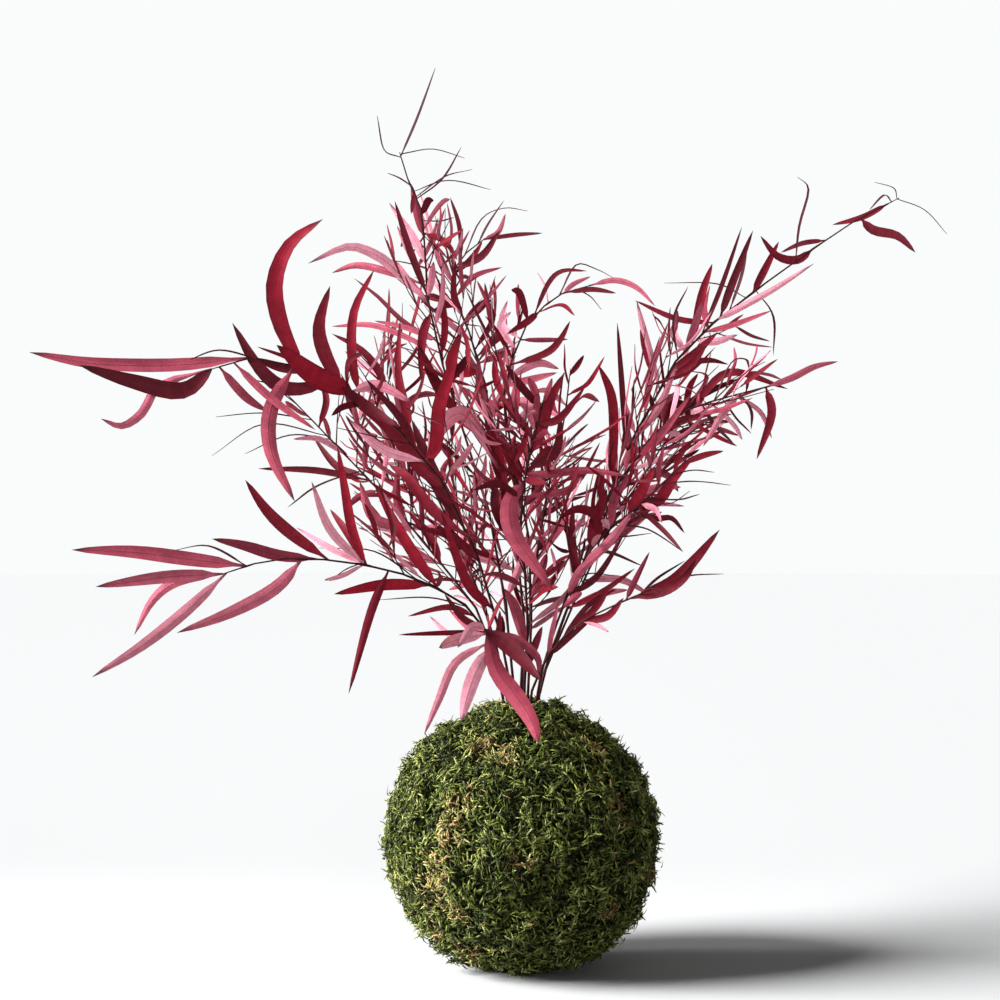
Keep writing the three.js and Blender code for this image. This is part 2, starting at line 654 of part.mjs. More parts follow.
    leaves: [
      ['under', 4, -4, [131, 318], [146, 322], [158, 328], [171, 331]],
      ['up', 5, 10, [132, 317], [135, 302], [127, 278]],
      ['up', 4.6, 6, [92, 305], [112, 325], [144, 316]],
      ['edge', 2.4, -4, [88, 304], [100, 322], [90, 326]],
      ['edge', 2.6, 8, [104, 309], [113, 330], [121, 332], [123, 327]],
      ['under', 4.2, 14, [118, 313], [109, 303], [98, 285]],
      ['edge', 2.4, 10, [118, 313], [124, 304], [124, 294]],
      ['up', 3, 14, [98, 306], [104, 297], [115, 286]],
      ['edge', 2, 6, [108, 311], [116, 300], [124, 292]],
      ['under', 5, 5, [76, 295], [79, 306], [88, 307], [92, 293]],
      ['edge', 2, -6, [82, 299], [92, 293], [106, 297]],
      ['edge', 2.2, 4, [64, 283], [80, 285], [98, 297]],
      ['up', 5.5, 10, [60, 277], [80, 296], [104, 303]],
      ['up', 4.4, -6, [80, 299], [96, 312], [118, 322]],
      ['up', 4.6, 4, [62, 280], [74, 290], [92, 314]],
      ['under', 4, 4, [55, 270], [58, 281], [67, 282], [70, 270]],
      ['edge', 2.2, 12, [100, 308], [90, 316], [75, 319]],
    ],
    rule: { count: 13, from: 0.26, to: 0.92, long: 42, short: 26, narrow: 3, wide: 5.6 },
  },
  spray_right: {
    foot: [7, -8],
    rise: [[17, 184, -18], [30, 218, -30], [45, 238, -40], [60, 250, -48], [74, 263, -56],
      [88, 277, -62]],
    leaves: [
      ['up', 3.6, 0, [87, 276], [98, 280], [109, 282.5]],
      ['up', 6.5, 8, [57, 248], [64, 260], [72, 274]],
      ['up', 6.5, 14, [60, 250], [74, 256], [82, 268], [93, 280]],
      ['up', 3.4, 6, [60, 250], [72, 246], [81, 246], [88, 238]],
      ['up', 2.8, 14, [62, 252], [76, 240], [87, 228]],
      ['edge', 2.4, 10, [50, 242], [68, 240], [87, 228]],
      ['edge', 2.6, 4, [44, 237], [55, 236], [70, 238]],
      ['edge', 2.2, -4, [68, 257], [84, 256], [96, 259]],
      ['edge', 2, -10, [66, 255], [80, 254], [91, 261]],
      ['edge', 2, 4, [80, 269], [92, 272], [104, 271]],
      ['edge', 2, 12, [76, 265], [94, 266], [113, 264]],
      ['up', 3, -4, [74, 263], [74, 274], [77, 286]],
      ['up', 3.2, -8, [82, 271], [86, 281], [93, 289]],
      ['up', 7, 10, [36, 228], [40, 246], [46, 262]],
      ['up', 5.5, 18, [42, 234], [40, 247], [30, 251], [20, 246]],
      ['up', 2.8, 6, [27, 212], [42, 228], [66, 220]],
      ['up', 3.8, 10, [24, 205], [40, 214], [55, 237]],
      ['edge', 2.2, 4, [26, 210], [36, 216], [50, 215]],
      ['under', 5.5, 8, [32, 222], [46, 232], [60, 250]],
      ['under', 5, 12, [24, 204], [32, 218], [46, 230]],
      ['up', 5, 0, [48, 241], [50, 256], [60, 272]],
    ],
    rule: { count: 6, from: 0.3, to: 0.8, long: 36, short: 26, narrow: 3, wide: 6 },
  },
  spray_low_right: {
    foot: [4, -13],
    rise: [[12, 168, -21], [22, 181, -30], [34, 191, -38], [50, 199, -45], [64, 205, -50]],
    leaves: [
      ['up', 7, 2, [62, 204], [80, 211], [92, 222], [107, 240]],
      ['up', 5, 12, [58, 203], [76, 206], [88, 214], [94, 224]],
      ['edge', 2.4, -6, [64, 205], [74, 214], [88, 223]],
      ['under', 3.4, -4, [56, 202], [61, 212], [69, 228]],
      ['edge', 2.2, 4, [60, 203], [86, 214], [109, 216]],
      ['up', 4.6, 10, [34, 191], [46, 193], [55, 203]],
      ['up', 3.2, 0, [20, 179], [36, 199], [51, 208]],
      ['up', 4.2, 6, [26, 185], [40, 198], [48, 211]],
      ['edge', 2.8, 8, [63, 205], [70, 208], [76, 204]],
      ['up', 3.4, 8, [14, 171], [26, 182], [40, 194]],
      ['up', 3, -6, [14, 171], [16, 184], [20, 202]],
    ],
    rule: { count: 1, from: 0.4, to: 0.9, long: 26, short: 22, narrow: 2.6, wide: 4 },
  },
  spray_centre: {
    foot: [1, -5],
    rise: [[3, 200, -12], [-1, 240, -24], [2, 270, -34], [8, 296, -42], [12, 312, -47]],
    leaves: [
      ['under', 10.5, 16, [1, 265], [-6, 257], [-7, 246], [-3, 234], [5, 223], [17, 207]],
      ['up', 7.5, 4, [4, 280], [10, 294], [14, 308], [23, 325]],
      ['up', 5.5, 8, [3, 272], [18, 282], [21, 302]],
      ['under', 4.6, 14, [2, 270], [14, 270], [35, 272], [57, 269]],
      ['under', 4.2, 10, [2, 258], [26, 262], [28, 277]],
      ['up', 5, 14, [0, 268], [6, 266], [14, 265]],
      ['up', 4.6, 6, [8, 297], [20, 300], [34, 317]],
      ['up', 5, -4, [6, 290], [-4, 302], [-10, 310]],
      ['under', 5, -6, [5, 284], [0, 300], [12, 309]],
      ['up', 6, 4, [-1, 240], [-8, 252], [-10, 276]],
      ['up', 5.5, 10, [0, 226], [-14, 250], [-14, 270]],
    ],
    rule: { count: 21, from: 0.2, to: 0.98, long: 52, short: 32, narrow: 3.6, wide: 8 },
  },
  spray_front: {
    foot: [-4, -16],
    rise: [[-11, 164, -21], [-16, 175, -25], [-20, 186, -28]],
    leaves: [
      ['under', 10.5, 24, [-19, 184], [-14, 164], [-3, 149], [5, 136], [9, 124]],
      ['under', 8.5, 14, [-17, 177], [-25, 163], [-30, 149], [-33, 136]],
      ['under', 5, 10, [-18, 179], [-36, 168], [-45, 148], [-53, 129]],
      ['under', 7, 14, [-19, 184], [-36, 180], [-45, 176]],
      ['under', 5.5, 20, [-20, 186], [-27, 187], [-35, 176]],
      ['up', 9, 12, [-19, 187], [-10, 179], [0, 170], [10, 158]],
      ['up', 5, 4, [-19, 183], [-4, 181], [8, 171], [9, 161]],
      ['up', 4, 2, [-20, 186], [-32, 192], [-42, 205]],
    ],
    rule: { count: 3, from: 0.7, to: 1, long: 30, short: 26, narrow: 3, wide: 4.6 },
  },
  spray_back_left: {
    foot: [-8, 10],
    rise: [[-18, 190, 32], [-32, 226, 52], [-48, 262, 70], [-66, 296, 86], [-80, 330, 98]],
    leaves: [],
    rule: { count: 25, from: 0.26, to: 1, long: 52, short: 34, narrow: 3.6, wide: 7 },
  },
  spray_back_middle: {
    foot: [0, 15],
    rise: [[4, 190, 36], [8, 226, 58], [14, 262, 78], [22, 294, 94], [26, 326, 104]],
    leaves: [],
    rule: { count: 25, from: 0.3, to: 1, long: 52, short: 34, narrow: 3.6, wide: 7 },
  },
  spray_back_right: {
    foot: [8, 13],
    rise: [[22, 186, 34], [36, 218, 54], [52, 248, 72], [70, 276, 88], [88, 304, 100]],
    leaves: [],
    rule: { count: 13, from: 0.45, to: 1, long: 50, short: 32, narrow: 3.4, wide: 6.6 },
  },
}

// The stem's full line, from its foot in the soil straight up out of the moss and on
function stemLine(spray) {
  const [x, y] = spray.foot
  const foot = new THREE.Vector3(x * FOOT_CLOSENESS, y * FOOT_CLOSENESS, STEM_FOOT_HEIGHT)
  const risen = spray.rise.map((spot) => seen(...spot))
  return [foot, new THREE.Vector3(x, y, STEM_TOP_HEIGHT), ...risen]
}

function growSprays() {
  const sprays = Object.entries(SPRAYS).map(([name, spray]) => ({ name, ...spray }))
  sprays.forEach((spray, owner) => {
    spray.line = stemLine(spray)
    remember(stemBalls(spray, owner))
  })
  sprays.forEach((spray, owner) => {
    spray.grown = spray.leaves.map((entry, i) => leafByEye(spray, owner, i, entry))
  })
  sprays.forEach((spray, owner) => {
    for (let i = 0; i < spray.rule.count; i++) {
      const share = (i + 0.5) / spray.rule.count
      spray.grown.push(leafByRule(spray, owner, RULE_NUMBER + i, share))
    }
    spray.grown = spray.grown.filter((leaf) => leaf)
  })
  return sprays
}

function spraySolid(spray) {
  let solid = solidOf(stemShape(spray, 0))
  for (const leaf of spray.grown) {
    solid = solid.add(solidOf(leafShape(leaf)))
  }
  return solid
}

// ---- the ball ----

// Cushions and tufts of moss: uneven swellings of the ball's surface
function mossSwell(way) {
  const tufts = Math.sin(way.x * 24 + 1.3) + Math.sin(way.y * 22 + 0.4) + Math.sin(way.z * 25 + 2.1)
  const cushions = Math.sin(way.x * 6.2 + way.y * 3.1) + Math.sin(way.z * 7.3 - way.x * 2.4 + 1)
  const ripple = Math.sin(way.x * 31 + way.z * 17) * Math.sin(way.y * 29 - way.z * 13)
  return MOSS_RELIEF * (0.4 * tufts + 0.25 * cushions + 0.5 * ripple)
}

function mossOutside() {
  const geometry = new THREE.IcosahedronGeometry(MOSS_RADIUS, MOSS_FACES)
  const corners = geometry.attributes.position
  const corner = new THREE.Vector3()
  for (let i = 0; i < corners.count; i++) {
    corner.fromBufferAttribute(corners, i).normalize()
    const radius = MOSS_RADIUS + mossSwell(corner)
    corner.multiplyScalar(radius)
    corner.z *= BALL_SQUASH
    corner.add(BALL_CENTRE)
    corners.setXYZ(i, corner.x, corner.y, Math.max(corner.z, 0))
  }
  return geometry
}

function plainBall(radius) {
  const geometry = new THREE.IcosahedronGeometry(radius, SOIL_FACES)
  geometry.scale(1, 1, BALL_SQUASH)
  geometry.translate(0, 0, BALL_CENTRE_HEIGHT)
  return geometry
}

function withStemHoles(solid, sprays) {
  let drilled = solid
  for (const spray of sprays) {
    drilled = drilled.subtract(solidOf(stemShape(spray, HOLE_GAP)))
  }
  return drilled
}

// ---- materials ----

const MOSS = new THREE.MeshStandardMaterial({
  name: 'moss',
  color: '#5a6128',
  roughness: 0.95,
  metalness: 0,
})
const SOIL = new THREE.MeshStandardMaterial({
  name: 'soil',
  color: '#3b2c20',
  roughness: 0.95,
  metalness: 0,
})
const LEAF = new THREE.MeshStandardMaterial({
  name: 'red_leaf',
  color: '#8c1c2e',
  roughness: 0.6,
  metalness: 0,
})

function meshOf(name, solid, material) {
  const mesh = new THREE.Mesh(geometryOf(solid), material)
  mesh.name = name
  return mesh
}

// ---- assembly ----

const sprays = growSprays()
const kokedama = new THREE.Group()
kokedama.name = 'kokedama'
const mossShell = solidOf(mossOutside()).subtract(solidOf(plainBall(CAVITY_RADIUS)))
kokedama.add(meshOf('moss_cover', withStemHoles(mossShell, sprays), MOSS))
kokedama.add(meshOf('soil_core', withStemHoles(solidOf(plainBall(SOIL_RADIUS)), sprays), SOIL))
for (const spray of sprays) {
  kokedama.add(meshOf(spray.name, spraySolid(spray), LEAF))
}

export default kokedama
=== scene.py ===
import math

import bmesh
import bpy
import numpy as np
from mathutils import Matrix, Vector


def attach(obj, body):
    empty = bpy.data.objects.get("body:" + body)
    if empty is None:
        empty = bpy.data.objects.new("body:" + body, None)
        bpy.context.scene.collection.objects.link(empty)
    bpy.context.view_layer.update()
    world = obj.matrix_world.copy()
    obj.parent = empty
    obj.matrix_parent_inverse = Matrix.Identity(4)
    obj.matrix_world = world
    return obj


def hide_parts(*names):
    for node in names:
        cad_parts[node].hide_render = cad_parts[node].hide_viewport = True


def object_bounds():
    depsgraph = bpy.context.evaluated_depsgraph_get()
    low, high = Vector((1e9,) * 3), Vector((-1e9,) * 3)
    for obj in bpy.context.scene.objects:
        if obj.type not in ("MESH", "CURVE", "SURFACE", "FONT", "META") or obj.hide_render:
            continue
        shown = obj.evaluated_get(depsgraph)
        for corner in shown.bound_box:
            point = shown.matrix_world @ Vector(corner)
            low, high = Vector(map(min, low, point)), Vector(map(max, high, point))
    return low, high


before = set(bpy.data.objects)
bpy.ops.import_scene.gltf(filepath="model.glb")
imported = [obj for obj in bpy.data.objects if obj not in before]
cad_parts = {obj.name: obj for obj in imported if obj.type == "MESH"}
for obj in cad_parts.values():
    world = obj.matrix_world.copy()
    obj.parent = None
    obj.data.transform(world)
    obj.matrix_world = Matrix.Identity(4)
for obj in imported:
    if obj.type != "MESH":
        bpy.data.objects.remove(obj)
cad_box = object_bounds()

MM = 0.001
BAKE_MAP = "OFBake"

# ---- the ball, as in the part's source ----
BALL_CENTRE = (0.0, 0.0, 69.5)
BALL_SQUASH = 0.985
MOSS_RADIUS = 74.0
MOSS_RELIEF = 1.7

# ---- the sprays, as in the part's source ----
STEM_FOOT_HEIGHT = 110.0
STEM_TOP_HEIGHT = 145.0
FOOT_CLOSENESS = 0.82
STEM_FOOT_RADIUS = 1.25
STEM_TIP_RADIUS = 0.55
STEM_RINGS = 11
STEM_TIP_REACH = 1.5
LEAF_CLEAR_OF_BALL = 79.0
LEAF_FLOOR = 152.0
CREASE = 0.22
FRONT = (0.0, -1.0, 0.0)

# The sprays are laid out as they are seen from the front by an eye at this place, with heights
# counted from the lowest edge of the moss that it sees
EYE_X = -12.0
EYE_Z = 252.2
EYE_DISTANCE = 1100.0
SEEN_BASE = -3.8

# foot: where the stem leaves the moss, x and y. rise: the stem from there on, as x,z,y with x and
# z as seen from the front. rule: how many leaves the rule adds, between which shares of the stem,
# from how long to how short, and how narrow and how wide. leaves: the leaves, one a line: look,
# face, width, how far it comes forward, and its points from base to tip as x,z.
# The look is how it shows from the front: B bright red, C crimson and D deep crimson, as the upper
# side is; P pale pink, R rose and K dusky rose, as the underside is; - for the dark line of a leaf
# seen on edge. These tones are partly each leaf's own colour and partly painted light and shade,
# as bright or dark as the leaf shows from the front; the dark line of a leaf on edge is painted
# shade.
SPRAYS = {
    "spray_far_left": {
        "foot": (-5, -9),
        "rise": """
        -12,184,-14 -24,225,-22 -44,267,-34 -66,293,-44 -87,312,-52 -104,321,-58 -120,328,-63
        -147,333,-69 -168,327,-72
        """,
        "rule": (9, (0.24, 0.8), (50, 36), (4, 7)),
        "leaves": """
        C up 9.5 16 -117,331 -130,349 -134,372 -126,394 -108,408
        D up 8 4 -95,319 -106,333 -110,350 -104,372
        C up 5.5 -6 -88,312 -92,332 -91,358 -80,381
        D up 8 8 -104,317 -126,316 -142,327 -157,352
        B up 12 18 -92,316 -112,323 -133,340
        K up 7.5 -6 -147,333 -190,329 -232,330 -267,336
        D up 9.5 16 -168,327 -184,315 -210,320 -240,329
        - edge 3 -14 -143,334 -164,337 -180,332
        R under 5 26 -168,327 -196,318 -206,303 -217,296 -228,300
        K under 8.5 20 -124,327 -136,306 -136,282 -123,255
        K under 5 -10 -164,327 -150,312 -138,304
        K under 4.5 -20 -156,328 -136,311 -112,294
        P under 6 2 -92,315 -78,318 -60,309
        C up 5 -6 -62,300 -67,324 -66,354
        D up 4.5 -6 -79,305 -76,322 -87,337 -103,346
        B up 8 6 -47,284 -45,306 -40,322 -33,347
        P under 5.5 6 -52,276 -70,281 -82,288 -94,300
        D up 10 10 -38,262 -56,276 -72,296 -96,313
        D up 8 4 -30,240 -46,266 -60,300
        D up 6.5 14 -28,236 -48,250 -62,268 -72,275
        P under 9 -20 -52,277 -45,294 -34,303 -24,294 -12,271
        D up 5 10 -26,222 -38,236 -57,241
        C up 6 16 -16,198 -30,212 -44,250
        D under 4.5 10 -60,284 -66,300 -85,322
        D up 5.5 18 -100,318 -80,304 -68,296
        """,
    },
    "spray_low_left": {
        "foot": (-10, -4),
        "rise": """
        -20,189,-12 -36,202,-22 -54,212,-32 -76,219,-42 -100,223,-50 -124,224.5,-56 -143,222,-60
        -162,216,-63
        """,
        "rule": (2, (0.3, 0.7), (36, 28), (3, 5)),
        "leaves": """
        C up 7 6 -105,225 -124,237 -138,250 -150,267
        K up 8 0 -150,221 -180,224 -212,228 -244,229
        R up 7 8 -162,216 -195,214 -231,209
        R under 5.5 16 -162,216 -186,212 -200,202 -210,183
        P under 6.5 20 -160,216 -182,196 -206,177 -233,160
        R under 7.5 16 -119,224 -134,208 -158,195 -187,184
        K up 6.5 12 -110,224 -132,226 -150,231 -168,235
        B up 6.5 12 -50,209 -75,210 -102,205
        D under 5 18 -72,218 -82,195 -94,151
        - edge 2.6 -6 -150,221 -170,231 -192,228
        B up 5.5 0 -84,221 -92,240 -96,262 -100,285
        D up 5 -10 -84,221 -93,236 -104,251
        P under 5 -18 -86,222 -104,240 -114,266
        P under 3.6 -12 -86,222 -106,231 -122,241
        - edge 2.4 8 -32,197 -50,203 -77,202
        D up 3.6 6 -26,193 -40,198 -62,193
        D up 3 12 -19,184 -42,184 -67,183
        P under 3.8 6 -19,184 -37,182 -50,193
        - edge 2.2 -6 -88,222 -96,218 -104,212
        B up 6.5 -2 -46,207 -62,232 -80,264
        - edge 2 -10 -56,213 -80,228 -110,230
        """,
    },
    "spray_thin_left": {
        "foot": (-10, 3),
        "rise": "-20,188,6 -34,209,12 -54,234,18 -70,253,24 -86,270,30 -103,288,36 -128,314,42",
        "rule": (10, (0.34, 0.97), (42, 28), (3, 5.4)),
        "leaves": """
        D up 4.2 -4 -84,266 -112,272 -143,273
        D up 4.6 -8 -86,268 -100,274 -113,290
        K under 5 0 -64,246 -68,258 -67,277
        R under 6.5 4 -60,240 -80,246 -88,266
        D up 5 -4 -44,222 -50,236 -62,250
        - edge 2.4 8 -103,289 -126,291 -150,281
        - edge 2.2 -6 -106,291 -140,297 -168,280
        - edge 2.4 14 -114,299 -140,303 -166,301
        P under 3.6 12 -96,281 -110,289 -124,289
        - edge 2.2 -14 -88,271 -110,264 -127,252
        D up 4.2 -8 -110,295 -106,310 -110,322
        - edge 2.2 4 -122,308 -136,318 -150,322
        """,
    },
    "spray_tall": {
        "foot": (-4, 3),
        "rise": """
        -9,200,6 -18,250,10 -34,300,14 -43,329,16 -51,364,18 -53,396,19 -55,414,19 -62,430,20
        -66,443,20
        """,
        "rule": (14, (0.18, 0.8), (50, 28), (3, 6.4)),
        "leaves": """
        - edge 2.6 0 -62,443 -57,462 -47,490
        - edge 2.6 10 -62,444 -48,446 -31,441
        - edge 2.4 6 -66,441 -75,446 -78.5,464
        - edge 2.2 -8 -60,426 -66,430 -73,433
        D up 2.8 8 -58,422 -60,411
        D up 4.4 4 -51,366 -61,392 -69,418
        - edge 2.2 10 -56,424 -40,429 -17,424
        D up 3.6 8 -53,401 -42,396 -35,386
        - edge 2.2 -8 -53,399 -45,390 -40,380
        - edge 2.2 -6 -53,407 -44,407 -37,409
        - edge 2.4 14 -56,421 -42,431 -27,435
        - edge 2 -12 -56,419 -43,430 -33,447
        K under 5 6 -53,398 -57,412 -60,427
        P under 6 12 -51,362 -68,380 -80,389 -95,393 -116,384
        R under 4.6 0 -52,372 -74,380 -90,383 -103,379
        D up 5.5 12 -50,358 -54,344 -55,321
        D up 3 0 -51,344 -66,354 -78,366 -91,376
        R up 3.4 10 -47,343 -62,349 -80,353
        R under 3.6 -16 -44,336 -78,350 -103,350
        P under 4.4 8 -51,366 -49,376 -48,385
        P under 5 -8 -53,384 -59,398 -72,417
        D up 6.5 10 -35,302 -46,318 -56,340
        """,
    },
    "spray_high_middle": {
        "foot": (-1, 9),
        "rise": """
        1,200,20 -6,250,32 -17,300,40 -24,336,46 -36,362,50 -38,378,52 -31,389,53 -21,397,54
        """,
        "rule": (15, (0.2, 0.8), (46, 24), (3, 6)),
        "leaves": """
        D up 2.8 6 -19,398 -4,399.5 11,400.5
        R under 3.4 -6 -19,397 -13,401 -9,411
        D up 4.8 8 -37,381 -22,388 -12,402
        - edge 2.2 10 -31,389 -22,408 -10,414 3,412.5
        - edge 2 -8 -24,395 -18,406 -10,418
        D up 3 -2 -33,387 -34,404 -39,420
        K up 3.4 4 -36,366 -26,377 -11,382
        D up 4 8 -35,352 -37,368 -36,386
        D up 3.4 4 -35,362 -42,361 -49,358
        - edge 2.4 -6 -33,352 -30,351 -22,350
        B up 8 12 -20,326 -38,328 -33,348
        D up 3.6 6 -25,338 -16,354 -21,367
        R up 4.4 -4 -22,330 -10,335 -3,336
        D up 4 4 -23,334 -12,344 -6,343
        K up 6 10 -14,292 -22,312 -24,334
        P under 5 4 -16,303 -8,320 -4,345
        C up 8.5 12 -9,261 -13,276 -16,292 -21,310
        """,
    },
    "spray_arching": {
        "foot": (3, 2),
        "rise": "5,200,2 2,250,4 -10,300,7 -8,322,9 -1,345,10 10,359,10 20,367,10 36,372,10",
        "rule": (12, (0.2, 0.85), (46, 24), (3, 6)),
        "leaves": """
        D up 4.4 4 -4,329 12,335 20,342 26,353
        R up 4.6 8 -9,317 4,321 19,325
        P under 5 -4 -7,322 8,330 20,327
        R under 3 -2 22,368 28,373 37,377
        D up 3 6 5,355 14,373 22,380 35,380
        - edge 2 -6 20,367 29,383 40,381 50,376
        D up 3.2 6 24,368 38,370 51,368
        P up 4 -2 -4,337 -12,350 -6,358
        R under 3.6 2 36,372 50,375 62,371 72,361
        - edge 2 4 30,370 37,366 43,359
        P under 5.5 10 -10,306 4,309 22,300
        P up 3.4 -6 -2,343 -11,352 -8,364
        D up 4.4 2 8,358 2,352 -8,346
        """,
    },
    "spray_upper_right": {
        "foot": (8, 6),
        "rise": """
        20,184,14 33,222,24 46,258,32 64,297,40 83,331,47 99,348,52 124,368,57 143,381,61
        167,399,65 182,408,68 203,419,71
        """,
        "rule": (14, (0.18, 0.6), (48, 30), (3.4, 6.4)),
        "leaves": """
        D up 6 10 183,408 190,402 203,399 213,390
        D up 3.8 -6 199,416 184,409 168,405
        - edge 2.2 10 200,418 196,421 188,413
        - edge 2 4 203,419 201,425 191,428
        - edge 2 -6 203,419 218,413 230,400
        - edge 2 6 148,385 150,404 155,424 149,431
        D up 5.5 6 158,393 149,386 138,388 129,399
        D up 3.2 -6 164,398 152,395 140,390
        D up 4.8 -4 124,368 131,380 139,396
        D up 5 4 107,355 114,374 125,402
        C up 5.2 -4 91,341 97,366 103,384
        D up 3 6 97,346 108,372 119,404
        - edge 2.6 10 112,360 119,378 122,394
        P under 4.2 8 106,353 116,359 136,370 158,384
        K up 3.6 12 98,347 115,351 135,358.5
        D up 3.8 6 104,352 84,354 61,364
        P under 4.4 6 74,316 68,340 62,364
        - edge 2.2 -6 120,366 105,373 77,373.5
        - edge 2 6 127,370 136,355 136,334
        - up 2 -8 84,332 82,354 90,372
        D up 3.6 4 56,281 54,318 51.5,352
        C up 6 8 48,264 49,308 41.5,329
        P up 5 -6 88,336 82,346 84,351
        D up 5.5 8 80,327 92,334 106,347
        D up 5 14 76,320 90,328 100,340
        R under 4 16 66,300 70,326 79,352
        P under 4.6 14 60,289 74,306 84,330
        """,
    },
    "spray_middle_right": {
        "foot": (8, -1),
        "rise": "20,186,-5 36,226,-12 53,267,-19 78,298,-27 96,307,-32 112,312,-36 132,317,-41",
        "rule": (13, (0.26, 0.92), (42, 26), (3, 5.6)),
        "leaves": """
        R under 4 -4 131,318 146,322 158,328 171,331
        D up 5 10 132,317 135,302 127,278
        D up 4.6 6 92,305 112,325 144,316
        D edge 2.4 -4 88,304 100,322 90,326
        - edge 2.6 8 104,309 113,330 121,332 123,327
        P under 4.2 14 118,313 109,303 98,285
        - edge 2.4 10 118,313 124,304 124,294
        - up 3 14 98,306 104,297 115,286
        D edge 2 6 108,311 116,300 124,292
        D under 5 5 76,295 79,306 88,307 92,293
        - edge 2 -6 82,299 92,293 106,297
        - edge 2.2 4 64,283 80,285 98,297
        D up 5.5 10 60,277 80,296 104,303
        D up 4.4 -6 80,299 96,312 118,322
        K up 4.6 4 62,280 74,290 92,314
        R under 4 4 55,270 58,281 67,282 70,270
        R edge 2.2 12 100,308 90,316 75,319
        """,
    },
    "spray_right": {
        "foot": (7, -8),
        "rise": "17,184,-18 30,218,-30 45,238,-40 60,250,-48 74,263,-56 88,277,-62",
        "rule": (6, (0.3, 0.8), (36, 26), (3, 6)),
        "leaves": """
        D up 3.6 0 87,276 98,280 109,282.5
        C up 6.5 8 57,248 64,260 72,274
        C up 6.5 14 60,250 74,256 82,268 93,280
        D up 3.4 6 60,250 72,246 81,246 88,238
        D up 2.8 14 62,252 76,240 87,228
        - edge 2.4 10 50,242 68,240 87,228
        - edge 2.6 4 44,237 55,236 70,238
        - edge 2.2 -4 68,257 84,256 96,259
        - edge 2 -10 66,255 80,254 91,261
        - edge 2 4 80,269 92,272 104,271
        - edge 2 12 76,265 94,266 113,264
        K up 3 -4 74,263 74,274 77,286
        D up 3.2 -8 82,271 86,281 93,289
        D up 7 10 36,228 40,246 46,262
        D up 5.5 18 42,234 40,247 30,251 20,246
        - up 2.8 6 27,212 42,228 66,220
        D up 3.8 10 24,205 40,214 55,237
        - edge 2.2 4 26,210 36,216 50,215
        R under 5.5 8 32,222 46,232 60,250
        R under 5 12 24,204 32,218 46,230
        K up 5 0 48,241 50,256 60,272
        """,
    },
    "spray_low_right": {
        "foot": (4, -13),
        "rise": "12,168,-21 22,181,-30 34,191,-38 50,199,-45 64,205,-50",
        "rule": (1, (0.4, 0.9), (26, 22), (2.6, 4)),
        "leaves": """
        D up 7 2 62,204 80,211 92,222 107,240
        D up 5 12 58,203 76,206 88,214 94,224
        - edge 2.4 -6 64,205 74,214 88,223
        K under 3.4 -4 56,202 61,212 69,228
        - edge 2.2 4 60,203 86,214 109,216
        D up 4.6 10 34,191 46,193 55,203
        D up 3.2 0 20,179 36,199 51,208
        D up 4.2 6 26,185 40,198 48,211
        - edge 2.8 8 63,205 70,208 76,204
        D up 3.4 8 14,171 26,182 40,194
        R up 3 -6 14,171 16,184 20,202
        """,
    },
    "spray_centre": {
        "foot": (1, -5),
        "rise": "3,200,-12 -1,240,-24 2,270,-34 8,296,-42 12,312,-47",
        "rule": (21, (0.2, 0.98), (52, 32), (3.6, 8)),
        "leaves": """
        K under 10.5 16 1,265 -6,257 -7,246 -3,234 5,223 17,207
        C up 7.5 4 4,280 10,294 14,308 23,325
        D up 5.5 8 3,272 18,282 21,302
        K under 4.6 14 2,270 14,270 35,272 57,269
        K under 4.2 10 2,258 26,262 28,277
        D up 5 14 0,268 6,266 14,265
        D up 4.6 6 8,297 20,300 34,317
        D up 5 -4 6,290 -4,302 -10,310
        P under 5 -6 5,284 0,300 12,309
        D up 6 4 -1,240 -8,252 -10,276
        D up 5.5 10 0,226 -14,250 -14,270
        """,
    },
    "spray_front": {
        "foot": (-4, -16),
        "rise": "-11,164,-21 -16,175,-25 -20,186,-28",
        "rule": (3, (0.7, 1), (30, 26), (3, 4.6)),
        "leaves": """
        K under 10.5 24 -19,184 -14,164 -3,149 5,136 9,124
        P under 8.5 14 -17,177 -25,163 -30,149 -33,136
        P under 5 10 -18,179 -36,168 -45,148 -53,129
        P under 7 14 -19,184 -36,180 -45,176
        P under 5.5 20 -20,186 -27,187 -35,176
        D up 9 12 -19,187 -10,179 0,170 10,158
        K up 5 4 -19,183 -4,181 8,171 9,161
        D up 4 2 -20,186 -32,192 -42,205
        """,
    },
    "spray_back_left": {
        "foot": (-8, 10),
        "rise": "-18,190,32 -32,226,52 -48,262,70 -66,296,86 -80,330,98",
        "rule": (25, (0.26, 1), (52, 34), (3.6, 7)),
        "leaves": "",
    },
    "spray_back_middle": {
        "foot": (0, 15),
        "rise": "4,190,36 8,226,58 14,262,78 22,294,94 26,326,104",
        "rule": (25, (0.3, 1), (52, 34), (3.6, 7)),
        "leaves": "",
    },
    "spray_back_right": {
        "foot": (8, 13),
        "rise": "22,186,34 36,218,54 52,248,72 70,276,88 88,304,100",
        "rule": (13, (0.45, 1), (50, 32), (3.4, 6.6)),
        "leaves": "",
    },
}


# ---- small helpers for places, as plain tuples ----

HEADING_STEP = 0.02
LENGTH_STEPS = 12


def plus(a, b, scale=1.0):
    return (a[0] + b[0] * scale, a[1] + b[1] * scale, a[2] + b[2] * scale)


def minus(a, b):
    return (a[0] - b[0], a[1] - b[1], a[2] - b[2])


def times(a, scale):
    return (a[0] * scale, a[1] * scale, a[2] * scale)


def dot(a, b):
    return a[0] * b[0] + a[1] * b[1] + a[2] * b[2]


def cross(a, b):
    return (
        a[1] * b[2] - a[2] * b[1],
        a[2] * b[0] - a[0] * b[2],
        a[0] * b[1] - a[1] * b[0],
    )


def unit(a):
    return times(a, 1.0 / math.sqrt(dot(a, a)))


def distance(a, b):
    gap = minus(a, b)
    return math.sqrt(dot(gap, gap))


